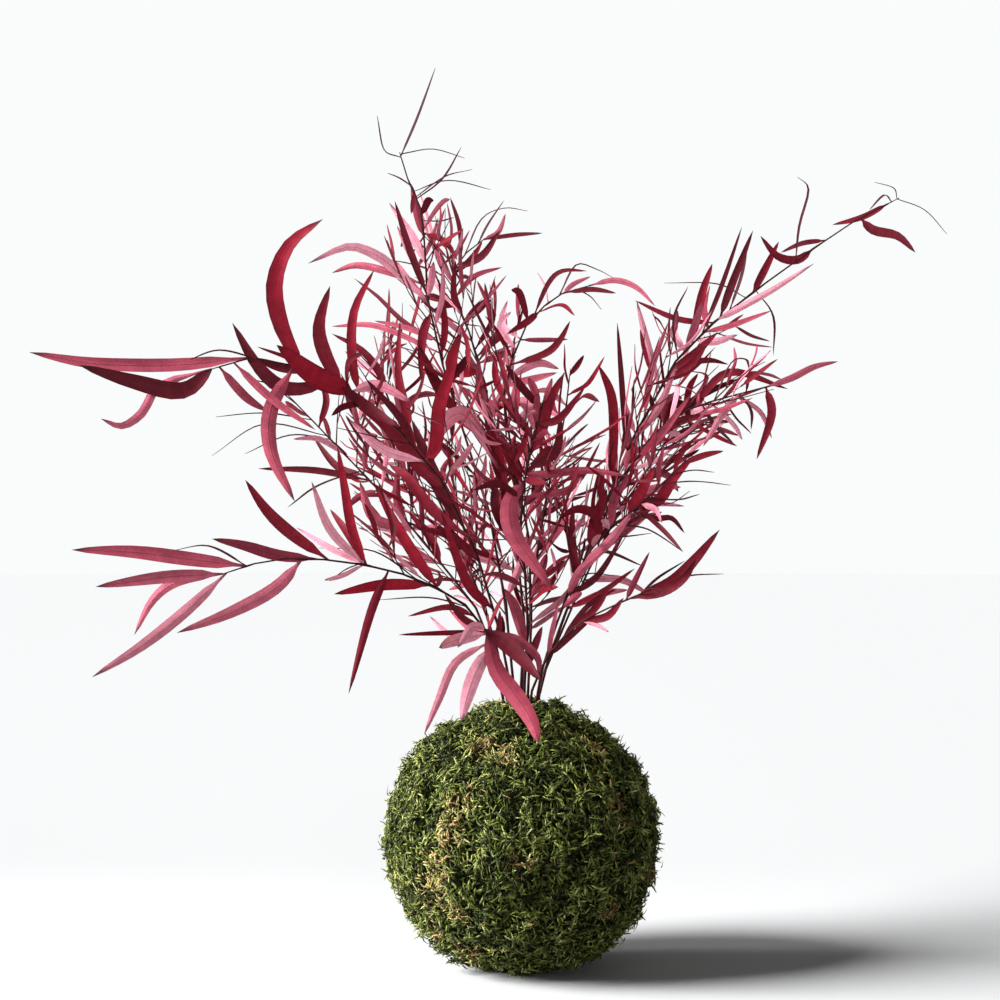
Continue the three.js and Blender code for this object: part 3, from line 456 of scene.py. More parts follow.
def mix(start, end, share):
    return start + (end - start) * share


def chance(a, b):
    """A repeatable number from 0 to 1 for each pair of whole numbers.

    Each use below multiplies its counts by numbers of its own, so that no two uses share a draw.
    """
    wave = math.sin(a * 127.1 + b * 311.7 + 17.3) * 43758.5453
    return wave - math.floor(wave)


def points_of(words):
    """Points as numbers, from words such as 12,-3.5."""
    return [tuple(float(value) for value in word.split(",")) for word in words]


def seen(x, z, y):
    """The place at depth y that the eye sees at x, z of the plane y = 0."""
    spread = 1 + y / EYE_DISTANCE
    height = z + SEEN_BASE
    return (EYE_X + (x - EYE_X) * spread, y, EYE_Z + (height - EYE_Z) * spread)


def in_view(place):
    """Where a place stands in the eye's view of the plane y = 0."""
    spread = 1 + place[1] / EYE_DISTANCE
    height = EYE_Z + (place[2] - EYE_Z) / spread
    return EYE_X + (place[0] - EYE_X) / spread, height - SEEN_BASE


def along(line, t):
    """A smooth line through all its points, t from 0 to 1."""
    last = len(line) - 1
    reach = min(max(t, 0.0), 1.0) * last
    i = min(math.floor(reach), last - 1)
    f = reach - i
    p1, p2 = line[i], line[i + 1]
    p0 = line[i - 1] if i > 0 else minus(times(p1, 2), p2)
    p3 = line[i + 2] if i < last - 1 else minus(times(p2, 2), p1)
    place = []
    for axis in range(3):
        a = p1[axis]
        slope_in = 0.5 * (p2[axis] - p0[axis])
        slope_out = 0.5 * (p3[axis] - a)
        c2 = -3 * a + 3 * p2[axis] - 2 * slope_in - slope_out
        c3 = 2 * a - 2 * p2[axis] + slope_in + slope_out
        place.append(a + f * (slope_in + f * (c2 + f * c3)))
    return tuple(place)


def heading(line, t):
    return unit(minus(along(line, t + HEADING_STEP), along(line, t - HEADING_STEP)))


def length_of(line):
    return sum(
        distance(along(line, i / LENGTH_STEPS), along(line, (i - 1) / LENGTH_STEPS))
        for i in range(1, LENGTH_STEPS + 1)
    )


def around(up, side):
    """Two directions at right angles to up, the first also to side."""
    flat = unit(cross(up, side))
    return flat, cross(flat, up)


def turned(first, second, angle):
    """The direction at an angle from the first toward the second."""
    return plus(times(first, math.cos(angle)), second, math.sin(angle))


# ---- where each stem and leaf grows: the same rule as the part's source ----

CELL = 8.0
SPINE_STEP = 3.2
STEM_STEP = 3.0
BALL_SPARE = 0.35
STEM_SPARE = 1.0
ROOT_LENGTH = 7.0
STEM_NUMBER = -1
SAME_SPRAY_ROOM = 0.75
STEM_LOOKS = 160
NEAR_STEM = 4.0
DEPTH_BEND = 1.3
DEPTH_TRIES = (0, -8, 8, -15, 15, -22, 22, -30, 30, -38, 38, -48, 48)
RULE_TRIES = 14
RULE_NUMBER = 100
TIRED_TRY = 8
FACE_NORMALS = {"up": (0, -1, 0.12), "under": (0, 1, 0.12), "edge": (0.1, -0.3, 1)}
FOLD_LOOKS = 10
LEAST_AGREEMENT = 0.77
THREE_ACROSS = (-0.8, 0, 0.8)
WIDE_HALF = 1.2
OUTLINE_LEAST, OUTLINE_SKEW, OUTLINE_FULLNESS = 0.1, 0.82, 0.85

# How a leaf by rule varies: how far it turns about the stem and turns on at each try, and the
# least and most of its tilt, length, belly, lift of the tip, droop and roll
RULE_TURN, RULE_TURN_ON = 2.6, 0.9
RULE_TILT = (0.4, 1.15)
RULE_LENGTH = (0.65, 1.2)
RULE_TIRED_LENGTH = 0.7
RULE_BELLY = (0, 0.08)
RULE_REACH = 0.93
RULE_LIFT = (-0.25, 0.25)
RULE_DROOP = (-0.05, 0.22)
RULE_ROLL = (0.5, 1.35)

NEIGHBOURS = [(dx, dy, dz) for dx in (-1, 0, 1) for dy in (-1, 0, 1) for dz in (-1, 0, 1)]
cells = {}


def stem_spot(line, t):
    """The stem runs straight from ring to ring, and leaves grow from that line."""
    reach = min(max(t, 0.0), 1.0) * (STEM_RINGS - 1)
    ring = min(math.floor(reach), STEM_RINGS - 2)
    low = along(line, ring / (STEM_RINGS - 1))
    high = along(line, (ring + 1) / (STEM_RINGS - 1))
    return plus(low, minus(high, low), reach - ring)


def stem_radius(t):
    return mix(STEM_FOOT_RADIUS, STEM_TIP_RADIUS, t)


def leaf_outline(t):
    """Share of a leaf's full width, as in its solid."""
    arch = max(math.sin(math.pi * t**OUTLINE_SKEW), 0.0) ** OUTLINE_FULLNESS
    return OUTLINE_LEAST + (1 - OUTLINE_LEAST) * arch


def leaf_frame(leaf, t):
    """Which way a blade runs, the normal of its upper side, and its side direction."""
    way = heading(leaf["line"], t)
    normal = unit(plus(leaf["normal"], way, -dot(leaf["normal"], way)))
    return way, normal, cross(way, normal)


def leaf_balls(leaf, owner, number):
    """Small balls that fill a leaf, three across where it is wide."""
    length = length_of(leaf["line"])
    count = max(4, math.ceil(length / SPINE_STEP))
    balls = []
    for i in range(1, count + 1):
        t = i / count
        _, normal, side = leaf_frame(leaf, t)
        half = leaf["width"] * leaf_outline(t) / 2
        radius = 0.5 * math.hypot(length / count, half) + BALL_SPARE
        spot = along(leaf["line"], t)
        for across in THREE_ACROSS if half > WIDE_HALF else (0,):
            place = plus(spot, side, across * half)
            place = plus(place, normal, CREASE * half * abs(across))
            balls.append((place, radius, owner, number, t * length < ROOT_LENGTH))
    return balls


def stem_balls(line, owner):
    count = math.ceil(length_of(line) / STEM_STEP)
    balls = []
    for i in range(count + 1):
        radius = stem_radius(i / count) + STEM_SPARE
        balls.append((stem_spot(line, i / count), radius, owner, STEM_NUMBER, False))
    return balls


def cell_of(place):
    return tuple(math.floor(value / CELL) for value in place)


def remember(balls):
    for ball in balls:
        cells.setdefault(cell_of(ball[0]), []).append(ball)


def is_clear(balls):
    """Leaves of one spray may meet near their roots, where they are one body with its stem."""
    for place, radius, owner, number, is_root in balls:
        if distance(place, BALL_CENTRE) < LEAF_CLEAR_OF_BALL:
            return False
        x, y, z = cell_of(place)
        for dx, dy, dz in NEIGHBOURS:
            near = cells.get((x + dx, y + dy, z + dz), ())
            for spot, reach, whose, which, their_root in near:
                same = whose == owner
                if same and (is_root or their_root or which == STEM_NUMBER):
                    continue
                room = (radius + reach) * (SAME_SPRAY_ROOM if same else 1)
                gap = minus(place, spot)
                if dot(gap, gap) < room * room:
                    return False
    return True


def folds_over(leaf):
    """Whether a blade turns about itself so fast that it would pass through itself."""
    sides = [leaf_frame(leaf, i / FOLD_LOOKS)[2] for i in range(FOLD_LOOKS + 1)]
    return any(dot(a, b) < LEAST_AGREEMENT for a, b in zip(sides, sides[1:]))


def settled(leaf, owner, number):
    """Whether a leaf is clear of all that is placed so far. If so, it is placed too."""
    balls = leaf_balls(leaf, owner, number)
    if not is_clear(balls):
        return False
    remember(balls)
    return True


def leaf_by_eye(line, owner, number, entry):
    look, face, width, forward, *points = entry.split()
    points = points_of(points)
    root_t, root_gap = 0.0, math.inf
    for i in range(STEM_LOOKS + 1):
        place = stem_spot(line, i / STEM_LOOKS)
        x, z = in_view(place)
        gap = math.hypot(x - points[0][0], z - points[0][1])
        if gap < root_gap and place[2] > LEAF_FLOOR:
            root_t, root_gap = i / STEM_LOOKS, gap
    foot = stem_spot(line, root_t)
    rest = points[1:] if root_gap < NEAR_STEM else points
    for extra in DEPTH_TRIES:
        blade = [foot]
        for i, (x, z) in enumerate(rest):
            share = (i + 1) / len(rest)
            blade.append(seen(x, z, foot[1] - (float(forward) + extra) * share**DEPTH_BEND))
        leaf = {"line": blade, "width": float(width), "normal": FACE_NORMALS[face]}
        leaf.update(face=face, look=look)
        if not folds_over(leaf) and settled(leaf, owner, number):
            return leaf
    return None


def leaf_by_rule(line, rule, owner, number, share):
    _, span, sizes, widths = rule
    t = mix(*span, share)
    foot = stem_spot(line, t)
    up = heading(line, t)
    flat, deep = around(up, FRONT)
    size = mix(*sizes, share)
    for go in range(RULE_TRIES):
        draws = [chance(owner * 37 + number, go * 11 + k) for k in range(10)]
        turn = number * math.pi + (draws[1] - 0.5) * RULE_TURN + go * RULE_TURN_ON
        tilt = mix(*RULE_TILT, draws[2])
        out = turned(flat, deep, turn)
        way = turned(up, out, tilt)
        length = size * mix(*RULE_LENGTH, draws[3])
        length *= RULE_TIRED_LENGTH if go > TIRED_TRY else 1
        belly = length * mix(*RULE_BELLY, draws[4])
        middle = plus(plus(foot, way, length * 0.5), out, belly)
        lift = length * mix(*RULE_LIFT, draws[5])
        tip = plus(plus(foot, way, length * RULE_REACH), up, lift)
        tip = (tip[0], tip[1], tip[2] - length * mix(*RULE_DROOP, draws[6]))
        normal = plus(times(up, math.sin(tilt)), out, -math.cos(tilt))
        roll = mix(*RULE_ROLL, draws[7]) * (-1 if draws[9] < 0.5 else 1)
        normal = turned(normal, cross(way, normal), roll)
        leaf = {"line": [foot, middle, tip], "width": mix(*widths, draws[8]), "normal": normal}
        if settled(leaf, owner, number):
            return leaf
    return None


def stem_line(spray):
    """The stem's full line, from its foot in the soil straight up out of the moss and on."""
    x, y = spray["foot"]
    foot = (x * FOOT_CLOSENESS, y * FOOT_CLOSENESS, STEM_FOOT_HEIGHT)
    rise = [seen(*spot) for spot in points_of(spray["rise"].split())]
    return [foot, (x, y, STEM_TOP_HEIGHT)] + rise


def grow_sprays():
    """Every spray's stem line and leaves, by node name."""
    lines = {name: stem_line(spray) for name, spray in SPRAYS.items()}
    for owner, line in enumerate(lines.values()):
        remember(stem_balls(line, owner))
    leaves = {}
    for owner, (name, spray) in enumerate(SPRAYS.items()):
        entries = spray["leaves"].strip().splitlines()
        leaves[name] = [
            leaf_by_eye(lines[name], owner, i, entry) for i, entry in enumerate(entries)
        ]
    for owner, (name, spray) in enumerate(SPRAYS.items()):
        rule = spray["rule"]
        for i in range(rule[0]):
            share = (i + 0.5) / rule[0]
            leaves[name].append(leaf_by_rule(lines[name], rule, owner, RULE_NUMBER + i, share))
    grown = {name: [leaf for leaf in found if leaf] for name, found in leaves.items()}
    return lines, grown


# ---- thin side twigs with young leaves, too fine for the part's source ----

TWIG_TRIES = 6
TWIG_NUMBER = 300
YOUNG_NUMBER = 400
TWIG_FOOT_RADIUS = 0.42
TWIG_TIP_RADIUS = 0.2
TWIG_LONG, TWIG_SHORT = 62.0, 30.0
YOUNG_LONG, YOUNG_SHORT = 42.0, 20.0
YOUNG_WIDE, YOUNG_NARROW = 3.6, 2.0
YOUNG_PER_TWIG = 5
TWIG_FLOOR = 170.0
TWIGS_PER_LEAF = 0.9
FEWEST_TWIGS = 3

# Least and most of what a twig varies by: where on its stem, tilt, length and lift of the tip
TWIG_SPAN = (0.16, 0.97)
TWIG_SPAN_MORE = (0.06, 0.05)
TWIG_TILT = (0.3, 0.8)
TWIG_LENGTH = (0.75, 1.15)
TWIG_BELLY = 0.05
TWIG_LIFT = (-0.15, 0.2)

# And of a young leaf: where on its twig, tilt, turn, belly, lift of the tip and roll
YOUNG_SPAN = (0.3, 1.0)
YOUNG_TILT = (0.35, 0.95)
YOUNG_TIP_TILT = 0.4
YOUNG_TURN = 2.4
YOUNG_BELLY = (0, 0.1)
YOUNG_LIFT = (-0.2, 0.25)
YOUNG_ROLL = (-1.3, 1.3)

# Twigs and their leaves keep to the dense parts of the crown and out of the open gap between its
# two halves, all ellipses as seen from the front: x, z, half width, half height. They also keep
# this far inside the box of the whole plant.
DENSE_PARTS = (
    (-11.0, 289.0, 95.0, 90.0),
    (92.0, 320.0, 50.0, 44.0),
    (-52.0, 382.0, 27.0, 42.0),
)
OPEN_GAP = (30.0, 340.0, 30.0, 50.0)
BOX_MARGIN = 3.0
DENSE_LOOKS = 4


def is_inside(ellipse, x, z):
    middle_x, middle_z, half_wide, half_high = ellipse
    return math.hypot((x - middle_x) / half_wide, (z - middle_z) / half_high) < 1


def in_dense_part(line):
    for i in range(1, DENSE_LOOKS + 1):
        place = along(line, i / DENSE_LOOKS)
        x, z = in_view(place)
        if is_inside(OPEN_GAP, x, z) or not any(is_inside(part, x, z) for part in DENSE_PARTS):
            return False
        for value, low, high in zip(place, *cad_box):
            if not low / MM + BOX_MARGIN < value < high / MM - BOX_MARGIN:
                return False
    return True


def twig_balls(line, owner, number):
    count = math.ceil(length_of(line) / STEM_STEP)
    balls = []
    for i in range(1, count + 1):
        is_root = i * STEM_STEP < ROOT_LENGTH
        balls.append((along(line, i / count), 2 * TWIG_FOOT_RADIUS, owner, number, is_root))
    return balls


def grow_twigs(name, owner, line):
    """A spray's side twigs, and the young leaves on them, where they clear everything else."""
    leaf_count, (start, end), *_ = SPRAYS[name]["rule"]
    count = max(FEWEST_TWIGS, round(leaf_count * TWIGS_PER_LEAF))
    start = max(start - TWIG_SPAN_MORE[0], TWIG_SPAN[0])
    end = min(end + TWIG_SPAN_MORE[1], TWIG_SPAN[1])
    twigs, young = [], []
    for i in range(count):
        share = (i + 0.5) / count
        t = mix(start, end, share)
        foot = stem_spot(line, t)
        if foot[2] < TWIG_FLOOR:
            continue
        up = heading(line, t)
        flat, deep = around(up, FRONT)
        for go in range(TWIG_TRIES):
            draws = [chance(owner * 41 + i, 7000 + go * 13 + k) for k in range(4)]
            out = turned(flat, deep, draws[0] * 2 * math.pi)
            way = turned(up, out, mix(*TWIG_TILT, draws[1]))
            length = mix(TWIG_LONG, TWIG_SHORT, share) * mix(*TWIG_LENGTH, draws[2])
            middle = plus(plus(foot, way, length * 0.5), out, length * TWIG_BELLY)
            tip = plus(plus(foot, way, length), up, length * mix(*TWIG_LIFT, draws[3]))
            twig = [foot, middle, tip]
            balls = twig_balls(twig, owner, TWIG_NUMBER + i)
            if in_dense_part(twig) and is_clear(balls):
                remember(balls)
                twigs.append(twig)
                young.extend(grow_young(twig, owner, i, out))
                break
    return twigs, young


def grow_young(twig, owner, which, out):
    """Small leaves alternately on both sides of a twig, and one at its tip."""
    found = []
    for i in range(YOUNG_PER_TWIG):
        t = mix(*YOUNG_SPAN, i / (YOUNG_PER_TWIG - 1))
        foot, up = along(twig, t), heading(twig, t)
        flat, deep = around(up, out)
        number = YOUNG_NUMBER + which * YOUNG_PER_TWIG + i
        for go in range(TWIG_TRIES):
            draws = [chance(owner * 43 + number, 9000 + go * 17 + k) for k in range(7)]
            tilt = mix(*YOUNG_TILT, draws[0])
            tilt *= YOUNG_TIP_TILT if i == YOUNG_PER_TWIG - 1 else 1
            side = turned(flat, deep, i * math.pi + (draws[1] - 0.5) * YOUNG_TURN)
            way = turned(up, side, tilt)
            length = mix(YOUNG_SHORT, YOUNG_LONG, draws[2])
            belly = length * mix(*YOUNG_BELLY, draws[3])
            middle = plus(plus(foot, way, length * 0.5), side, belly)
            tip = plus(plus(foot, way, length), up, length * mix(*YOUNG_LIFT, draws[4]))
            normal = plus(times(up, math.sin(tilt)), side, -math.cos(tilt))
            normal = turned(normal, cross(way, normal), mix(*YOUNG_ROLL, draws[5]))
            width = mix(YOUNG_NARROW, YOUNG_WIDE, draws[6])
            leaf = {"line": [foot, middle, tip], "width": width, "normal": normal}
            if in_dense_part(leaf["line"]) and settled(leaf, owner, number):
                found.append(leaf)
                break
    return found


# ---- repeated shapes: each is made once by mesh operators, then laid along many lines ----


class Shape:
    """A closed shape: its corners, its faces as runs of them, and which way they face."""

    def __init__(self, bm):
        bmesh.ops.recalc_face_normals(bm, faces=bm.faces[:])
        bm.verts.index_update()
        bm.normal_update()
        self.corners = np.array([vert.co[:] for vert in bm.verts])
        loops, starts, normals = [], [], []
        # Solidify leaves the rim's faces in an order that changes from run to run
        faces = sorted(bm.faces, key=lambda face: sorted(vert.index for vert in face.verts))
        for face in faces:
            starts.append(len(loops))
            loops.extend(vert.index for vert in face.verts)
            normals.extend([face.normal[:]] * len(face.verts))
        self.loops = np.array(loops)
        self.starts = np.array(starts)
        self.normals = np.array(normals)
        bm.free()


class Stack:
    """Many laid-out copies of such shapes, gathered into one mesh."""

    def __init__(self):
        self.places, self.loops, self.starts, self.uvs = [], [], [], []
        self.corner_count = 0
        self.loop_count = 0

    def add(self, shape, places, uvs=None):
        """places: copy, corner, x y z in millimetres. uvs: copy, loop, u v."""
        copies, corners = places.shape[:2]
        steps = np.arange(copies)[:, None]
        self.places.append(places.reshape(-1, 3))
        loops = shape.loops[None, :] + corners * steps + self.corner_count
        self.loops.append(loops.ravel())
        starts = shape.starts[None, :] + len(shape.loops) * steps + self.loop_count
        self.starts.append(starts.ravel())
        if uvs is not None:
            self.uvs.append(uvs.reshape(-1, 2))
        self.corner_count += copies * corners
        self.loop_count += copies * len(shape.loops)

    def piece(self, name, material, slot, node, sharp_angle=None):
        mesh = bpy.data.meshes.new(name)
        mesh.vertices.add(self.corner_count)
        places = np.concatenate(self.places) * MM
        mesh.vertices.foreach_set("co", places.astype(np.float32).ravel())
        mesh.loops.add(self.loop_count)
        loops = np.concatenate(self.loops).astype(np.int32)
        mesh.loops.foreach_set("vertex_index", loops)
        starts = np.concatenate(self.starts).astype(np.int32)
        mesh.polygons.add(len(starts))
        mesh.polygons.foreach_set("loop_start", starts)
        if self.uvs:
            uv_map = mesh.uv_layers.new(name=BAKE_MAP)
            uvs = np.concatenate(self.uvs).astype(np.float32)
            uv_map.data.foreach_set("uv", uvs.ravel())
        mesh.update(calc_edges=True)
        mesh.shade_smooth()
        if sharp_angle is not None:
            mesh.set_sharp_from_angle(angle=sharp_angle)
        return placed(bpy.data.objects.new(name, mesh), material, node)


def placed(piece, material, node):
    """Puts a finished piece in the scene, on the one body, standing for its CAD node."""
    bpy.context.scene.collection.objects.link(piece)
    piece.data.materials.append(material)
    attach(piece, "root")
    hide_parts(node)
    return piece


def blade_shape(across, steps):
    """A flat strip: x from -1 to 1 across, y from 0 to 1 along, z 1 above and 0 below."""
    bm = bmesh.new()
    bmesh.ops.create_grid(bm, x_segments=across, y_segments=steps, size=1)
    bmesh.ops.solidify(bm, geom=bm.faces[:], thickness=1)
    low = min(vert.co.z for vert in bm.verts)
    for vert in bm.verts:
        vert.co.y = (vert.co.y + 1) / 2
        vert.co.z -= low
    return Shape(bm)


def tube(sides, steps):
    """A tube of radius 1 whose z runs from 0 to 1, closed flat at both ends."""
    bm = bmesh.new()
    bmesh.ops.create_cone(
        bm, cap_ends=True, cap_tris=False, segments=sides, radius1=1, radius2=1, depth=1
    )
    bmesh.ops.translate(bm, verts=bm.verts[:], vec=(0, 0, 0.5))
    uprights = [
        edge for edge in bm.edges if abs(edge.verts[0].co.z - edge.verts[1].co.z) > 0.5
    ]
    bmesh.ops.subdivide_edges(bm, edges=uprights, cuts=steps - 1, use_grid_fill=True)
    return bm


# ---- leaves ----

# The leaf map holds one column for each tone and side: the upper side, then the underside
LEAF_TONES = 8
LEAF_COLUMNS = 2 * LEAF_TONES
# The two darkest tones, given to leaves seen on edge, are painted shade
EDGE_ON_SHADE_TONES = (6, 7)
LOOK_TONES = {
    "B": (0, 1),
    "C": (2, 3),
    "D": (4, 5),
    "P": (0, 1),
    "R": (2, 3),
    "K": (4, 5),
    "-": EDGE_ON_SHADE_TONES,
}
PINK_LOOKS = "PRK"
FREE_REDS = (2, 3, 3, 4, 4, 5, 5)
FREE_PINKS = (0, 1, 1, 2, 3, 4, 4, 5, 5)
COLUMN_MARGIN = 0.1
RIM_START, RIM_WIDTH = 0.02, 0.06
MAP_START, MAP_HEIGHT = 0.01, 0.98
BLADE_STEPS = 12
BLADE_ACROSS = 4
SLIM_ACROSS = 2
SLIM_WIDTH = 4.2
BLADE_THICK = 0.28
PETIOLE_HALF = 0.42
PETIOLE_SHARE = 0.16
BROAD_WIDTH = 9.0
BROAD_PETIOLE_SHARE = 0.08
EDGE_SLIMNESS = 0.8
FREE_SLIMNESS = 0.86
FINE_WIDEST, FINE_SKEW, FINE_FULLNESS = 0.93, 0.8, 0.6
LEAST_HALF = 0.03
TWIST, FREE_TWIST = 0.7, 1.5
TWIST_START = 0.35
MIDRIB_DEPTH = 0.12
FOLD_BEND = 1.3
WAVE_HEIGHT = 0.09
WAVE_TURNS = (5, 14)
WAVE_START = (0, 6.28)
BASE_THICKNESS, THINNING = 1.3, 0.5
SHARP_EDGE = math.radians(55)


def fine_outline(t, petiole_share):
    """Share of the full width: a narrow stalk, widest before the middle, then a long point."""
    rise = min(t / petiole_share, 1.0)
    stalk = rise * rise * (3 - 2 * rise)
    arch = max(math.sin(math.pi * t**FINE_SKEW), 0.0) ** FINE_FULLNESS
    return FINE_WIDEST * stalk * arch


def leaf_columns(leaf, owner, number):
    """The map columns of a blade's upper side and of its underside."""
    look = leaf.get("look")
    reds, pinks = (LOOK_TONES[look],) * 2 if look else (FREE_REDS, FREE_PINKS)
    red = 2 * reds[int(chance(owner * 53 + number, 5001) * len(reds))]
    pink = 2 * pinks[int(chance(owner * 59 + number, 5006) * len(pinks))] + 1
    front, back = (pink, red) if look and look in PINK_LOOKS else (red, pink)
    return (back, front) if leaf.get("face") == "under" else (front, back)


def leaf_stations(leaf, owner, number):
    """Spots, sides, normals and half widths along a blade, with a slight twist of its own."""
    free = "look" not in leaf
    slimness = FREE_SLIMNESS if free else EDGE_SLIMNESS if leaf["look"] == "-" else 1
    width = leaf["width"] * slimness
    petiole_share = BROAD_PETIOLE_SHARE if width > BROAD_WIDTH else PETIOLE_SHARE
    twist = (chance(owner * 61 + number, 5002) - 0.5) * (FREE_TWIST if free else TWIST)
    rows = []
    for i in range(BLADE_STEPS + 1):
        t = i / BLADE_STEPS
        way, normal, side = leaf_frame(leaf, t)
        bent = turned(normal, side, twist * (t - TWIST_START))
        half = width / 2 * fine_outline(t, petiole_share)
        half = max(half, PETIOLE_HALF * (1 - t) ** 2, LEAST_HALF)
        spot = along(leaf["line"], t)
        rows.append((*spot, *cross(way, bent), *bent, half))
    return rows


def at_steps(rows, shares, steps):
    """Spots, sides, normals and half widths of each row's station at each corner's share."""
    picked = np.array(rows)[:, np.rint(shares * steps).astype(int)]
    return picked[..., 0:3], picked[..., 3:6], picked[..., 6:9], picked[..., 9]


def leaf_places(shape, rows, seeds):
    """Lays the flat strip along each leaf: folded at the midrib, its margins gently waved."""
    across, t, upper = shape.corners.T
    upper = upper - 0.5
    spot, side, normal, half = at_steps(rows, t, BLADE_STEPS)
    fold = CREASE * np.abs(across) ** FOLD_BEND * half
    wave = WAVE_HEIGHT * half * np.abs(across) * np.sin(t * seeds[:, :1] + seeds[:, 1:])
    thick = BLADE_THICK * (BASE_THICKNESS - THINNING * t) * upper
    midrib = -MIDRIB_DEPTH * (across == 0) * (upper < 0) * np.minimum(half, 1)
    lift = fold + wave + thick + midrib
    return spot + side * (across * half)[..., None] + normal * lift[..., None]


def leaf_uvs(shape, columns):
    """Each side has its own column. The rim, which has no width there, gets a sliver of it."""
    corner = shape.corners[shape.loops]
    facing = shape.normals[:, 2]
    flat = np.abs(facing) > 0.5
    on_face = COLUMN_MARGIN + (1 - 2 * COLUMN_MARGIN) * (corner[:, 0] + 1) / 2
    on_rim = RIM_START + RIM_WIDTH * corner[:, 2]
    inside = np.where(flat, on_face, on_rim)
    column = np.where(facing < -0.5, columns[:, 1:], columns[:, :1])
    u = (column + inside[None, :]) / LEAF_COLUMNS
    v = np.broadcast_to(MAP_START + MAP_HEIGHT * corner[:, 1], u.shape)
    return np.stack([u, v], axis=-1)


def make_leaves(name, owner, leaves, material):
    stack = Stack()
    for shape, is_slim in ((SLIM_BLADE, True), (WIDE_BLADE, False)):
        rows, columns, waves = [], [], []
        for number, leaf in enumerate(leaves):
            if (leaf["width"] < SLIM_WIDTH) == is_slim:
                rows.append(leaf_stations(leaf, owner, number))
                columns.append(leaf_columns(leaf, owner, number))
                turns = mix(*WAVE_TURNS, chance(owner * 71 + number, 5003))
                start = mix(*WAVE_START, chance(owner * 73 + number, 5004))
                waves.append((turns, start))
        if rows:
            places = leaf_places(shape, rows, np.array(waves))
            stack.add(shape, places, leaf_uvs(shape, np.array(columns)))
    piece_name = name.replace("spray_", "leaves_")
    return stack.piece(piece_name, material, "red_leaf", name, SHARP_EDGE)


# ---- stems ----

STEM_STEPS = 40
STEM_SIDES = 8
TWIG_STEPS = 6
TWIG_SIDES = 5
STEM_SLIMNESS = 0.64
STEM_END_SHARE = 0.4
TWIG_FACING = (0.3, 0.2, 1.0)
KNUCKLE = 0.28
KNUCKLE_REACH = 2.2


def tube_places(shape, rows, steps):
    """Lays the tube along each row of stations."""
    x, y, share = shape.corners.T
    spot, side, normal, radius = at_steps(rows, share, steps)
    radius = radius[..., None]
    return spot + side * x[:, None] * radius + normal * y[:, None] * radius


def stem_stations(line, roots):
    """A round stem along its line, slightly swollen where each leaf grows from it."""
    length = length_of(line)
    rows = []
    for i in range(STEM_STEPS + 1):
        t = i / STEM_STEPS
        way = heading(line, t)
        spot = stem_spot(line, t)
        normal = unit(plus(FRONT, way, -dot(FRONT, way)))
        near = min((abs(t - root) * length for root in roots), default=KNUCKLE_REACH)
        swell = KNUCKLE * max(0.0, 1 - near / KNUCKLE_REACH)
        radius = stem_radius(t) * (STEM_SLIMNESS + swell)
        if i == STEM_STEPS:
            spot = plus(spot, way, STEM_TIP_REACH)
            radius *= STEM_END_SHARE
        rows.append((*spot, *cross(way, normal), *normal, radius))
    return rows


def twig_stations(twig):
    rows = []
    for i in range(TWIG_STEPS + 1):
        t = i / TWIG_STEPS
        way = heading(twig, t)
        normal = unit(cross(way, TWIG_FACING))
        radius = mix(TWIG_FOOT_RADIUS, TWIG_TIP_RADIUS, t)
        rows.append((*along(twig, t), *cross(way, normal), *normal, radius))
    return rows


def make_stem(name, line, leaves, twigs, material):
    stack = Stack()
    looks = [stem_spot(line, i / STEM_LOOKS) for i in range(STEM_LOOKS + 1)]
    roots = []
    for leaf in leaves:
        gaps = [distance(spot, leaf["line"][0]) for spot in looks]
        roots.append(gaps.index(min(gaps)) / STEM_LOOKS)
    stack.add(STEM_TUBE, tube_places(STEM_TUBE, [stem_stations(line, roots)], STEM_STEPS))
    if twigs:
        rows = [twig_stations(twig) for twig in twigs]
        stack.add(TWIG_TUBE, tube_places(TWIG_TUBE, rows, TWIG_STEPS))
    return stack.piece(name.replace("spray_", "stem_"), material, "red_leaf", name, SHARP_EDGE)


# ---- moss ----

MOSS_SPOTS = 35000
MOSS_TUFTS = 640
MOSS_PIECES = 10
MOSS_SEED = 41
SHOOT_SEEDS = (3, 8, 21)
SPOT_JITTER = 0.9
TUFT_JITTER = 0.5
TUFT_EDGE = 1.2
TUFT_SPLAY = 0.3
LOOSENESS = 0.7
OUTWARD = (0.25, 0.75)
BED_RADIUS = 69.6
ROOT_RADIUS = 70.4
DOME_RISE = 3.0
TUFT_RISE = 1.3
ROOT_UNEVENNESS = 1.0
ROOT_SINK = 1.5
SHOOT_SHORT, SHOOT_LONG = 2.6, 5.0
SHOOT_SMALL, SHOOT_BIG = 1.1, 1.75
SHOOT_COMB = 0.35
SHOOT_CURL = (0.4, 1.5)
BEND_LOOSENESS = 0.55
LEAST_GROWTH = 0.8
FLOOR_GAP = 0.25
LYING_RISE = 0.1

# The few shoots that stray out of the tufts: longer, straighter and thinner
STRAY_SHARE = 0.02
STRAY_LONG = 6.5
STRAY_LENGTH = (0.7, 1.1)
STRAY_CURL = (-0.4, 0.4)
STRAY_SIZE = 0.8

# A shoot's parts, across in shares of its size. Leaflets run from the foot to the tip.
STALK_RADIUS = 0.26
SHOOT_RINGS = 4
LEAFLETS = 7
LEAFLET_LONG, LEAFLET_SHORT = 0.95, 0.65
LEAFLET_SPLAY = (0.95, 0.35)
LEAFLET_STRAY = 0.2
LEAFLET_LIFT = (-0.15, 0.45)
LEAFLET_WIDE, LEAFLET_NARROWING = 0.52, 0.35
LEAFLET_THIN = 0.35
LEAFLET_SPAN = (0.06, 0.78)

BED_SUBDIVISIONS = 6
# Two sizes of lump in the mat: height, how many round the ball, phase
BED_LUMPS = ((0.35, 60, 1.1), (0.2, 110, 0.4))
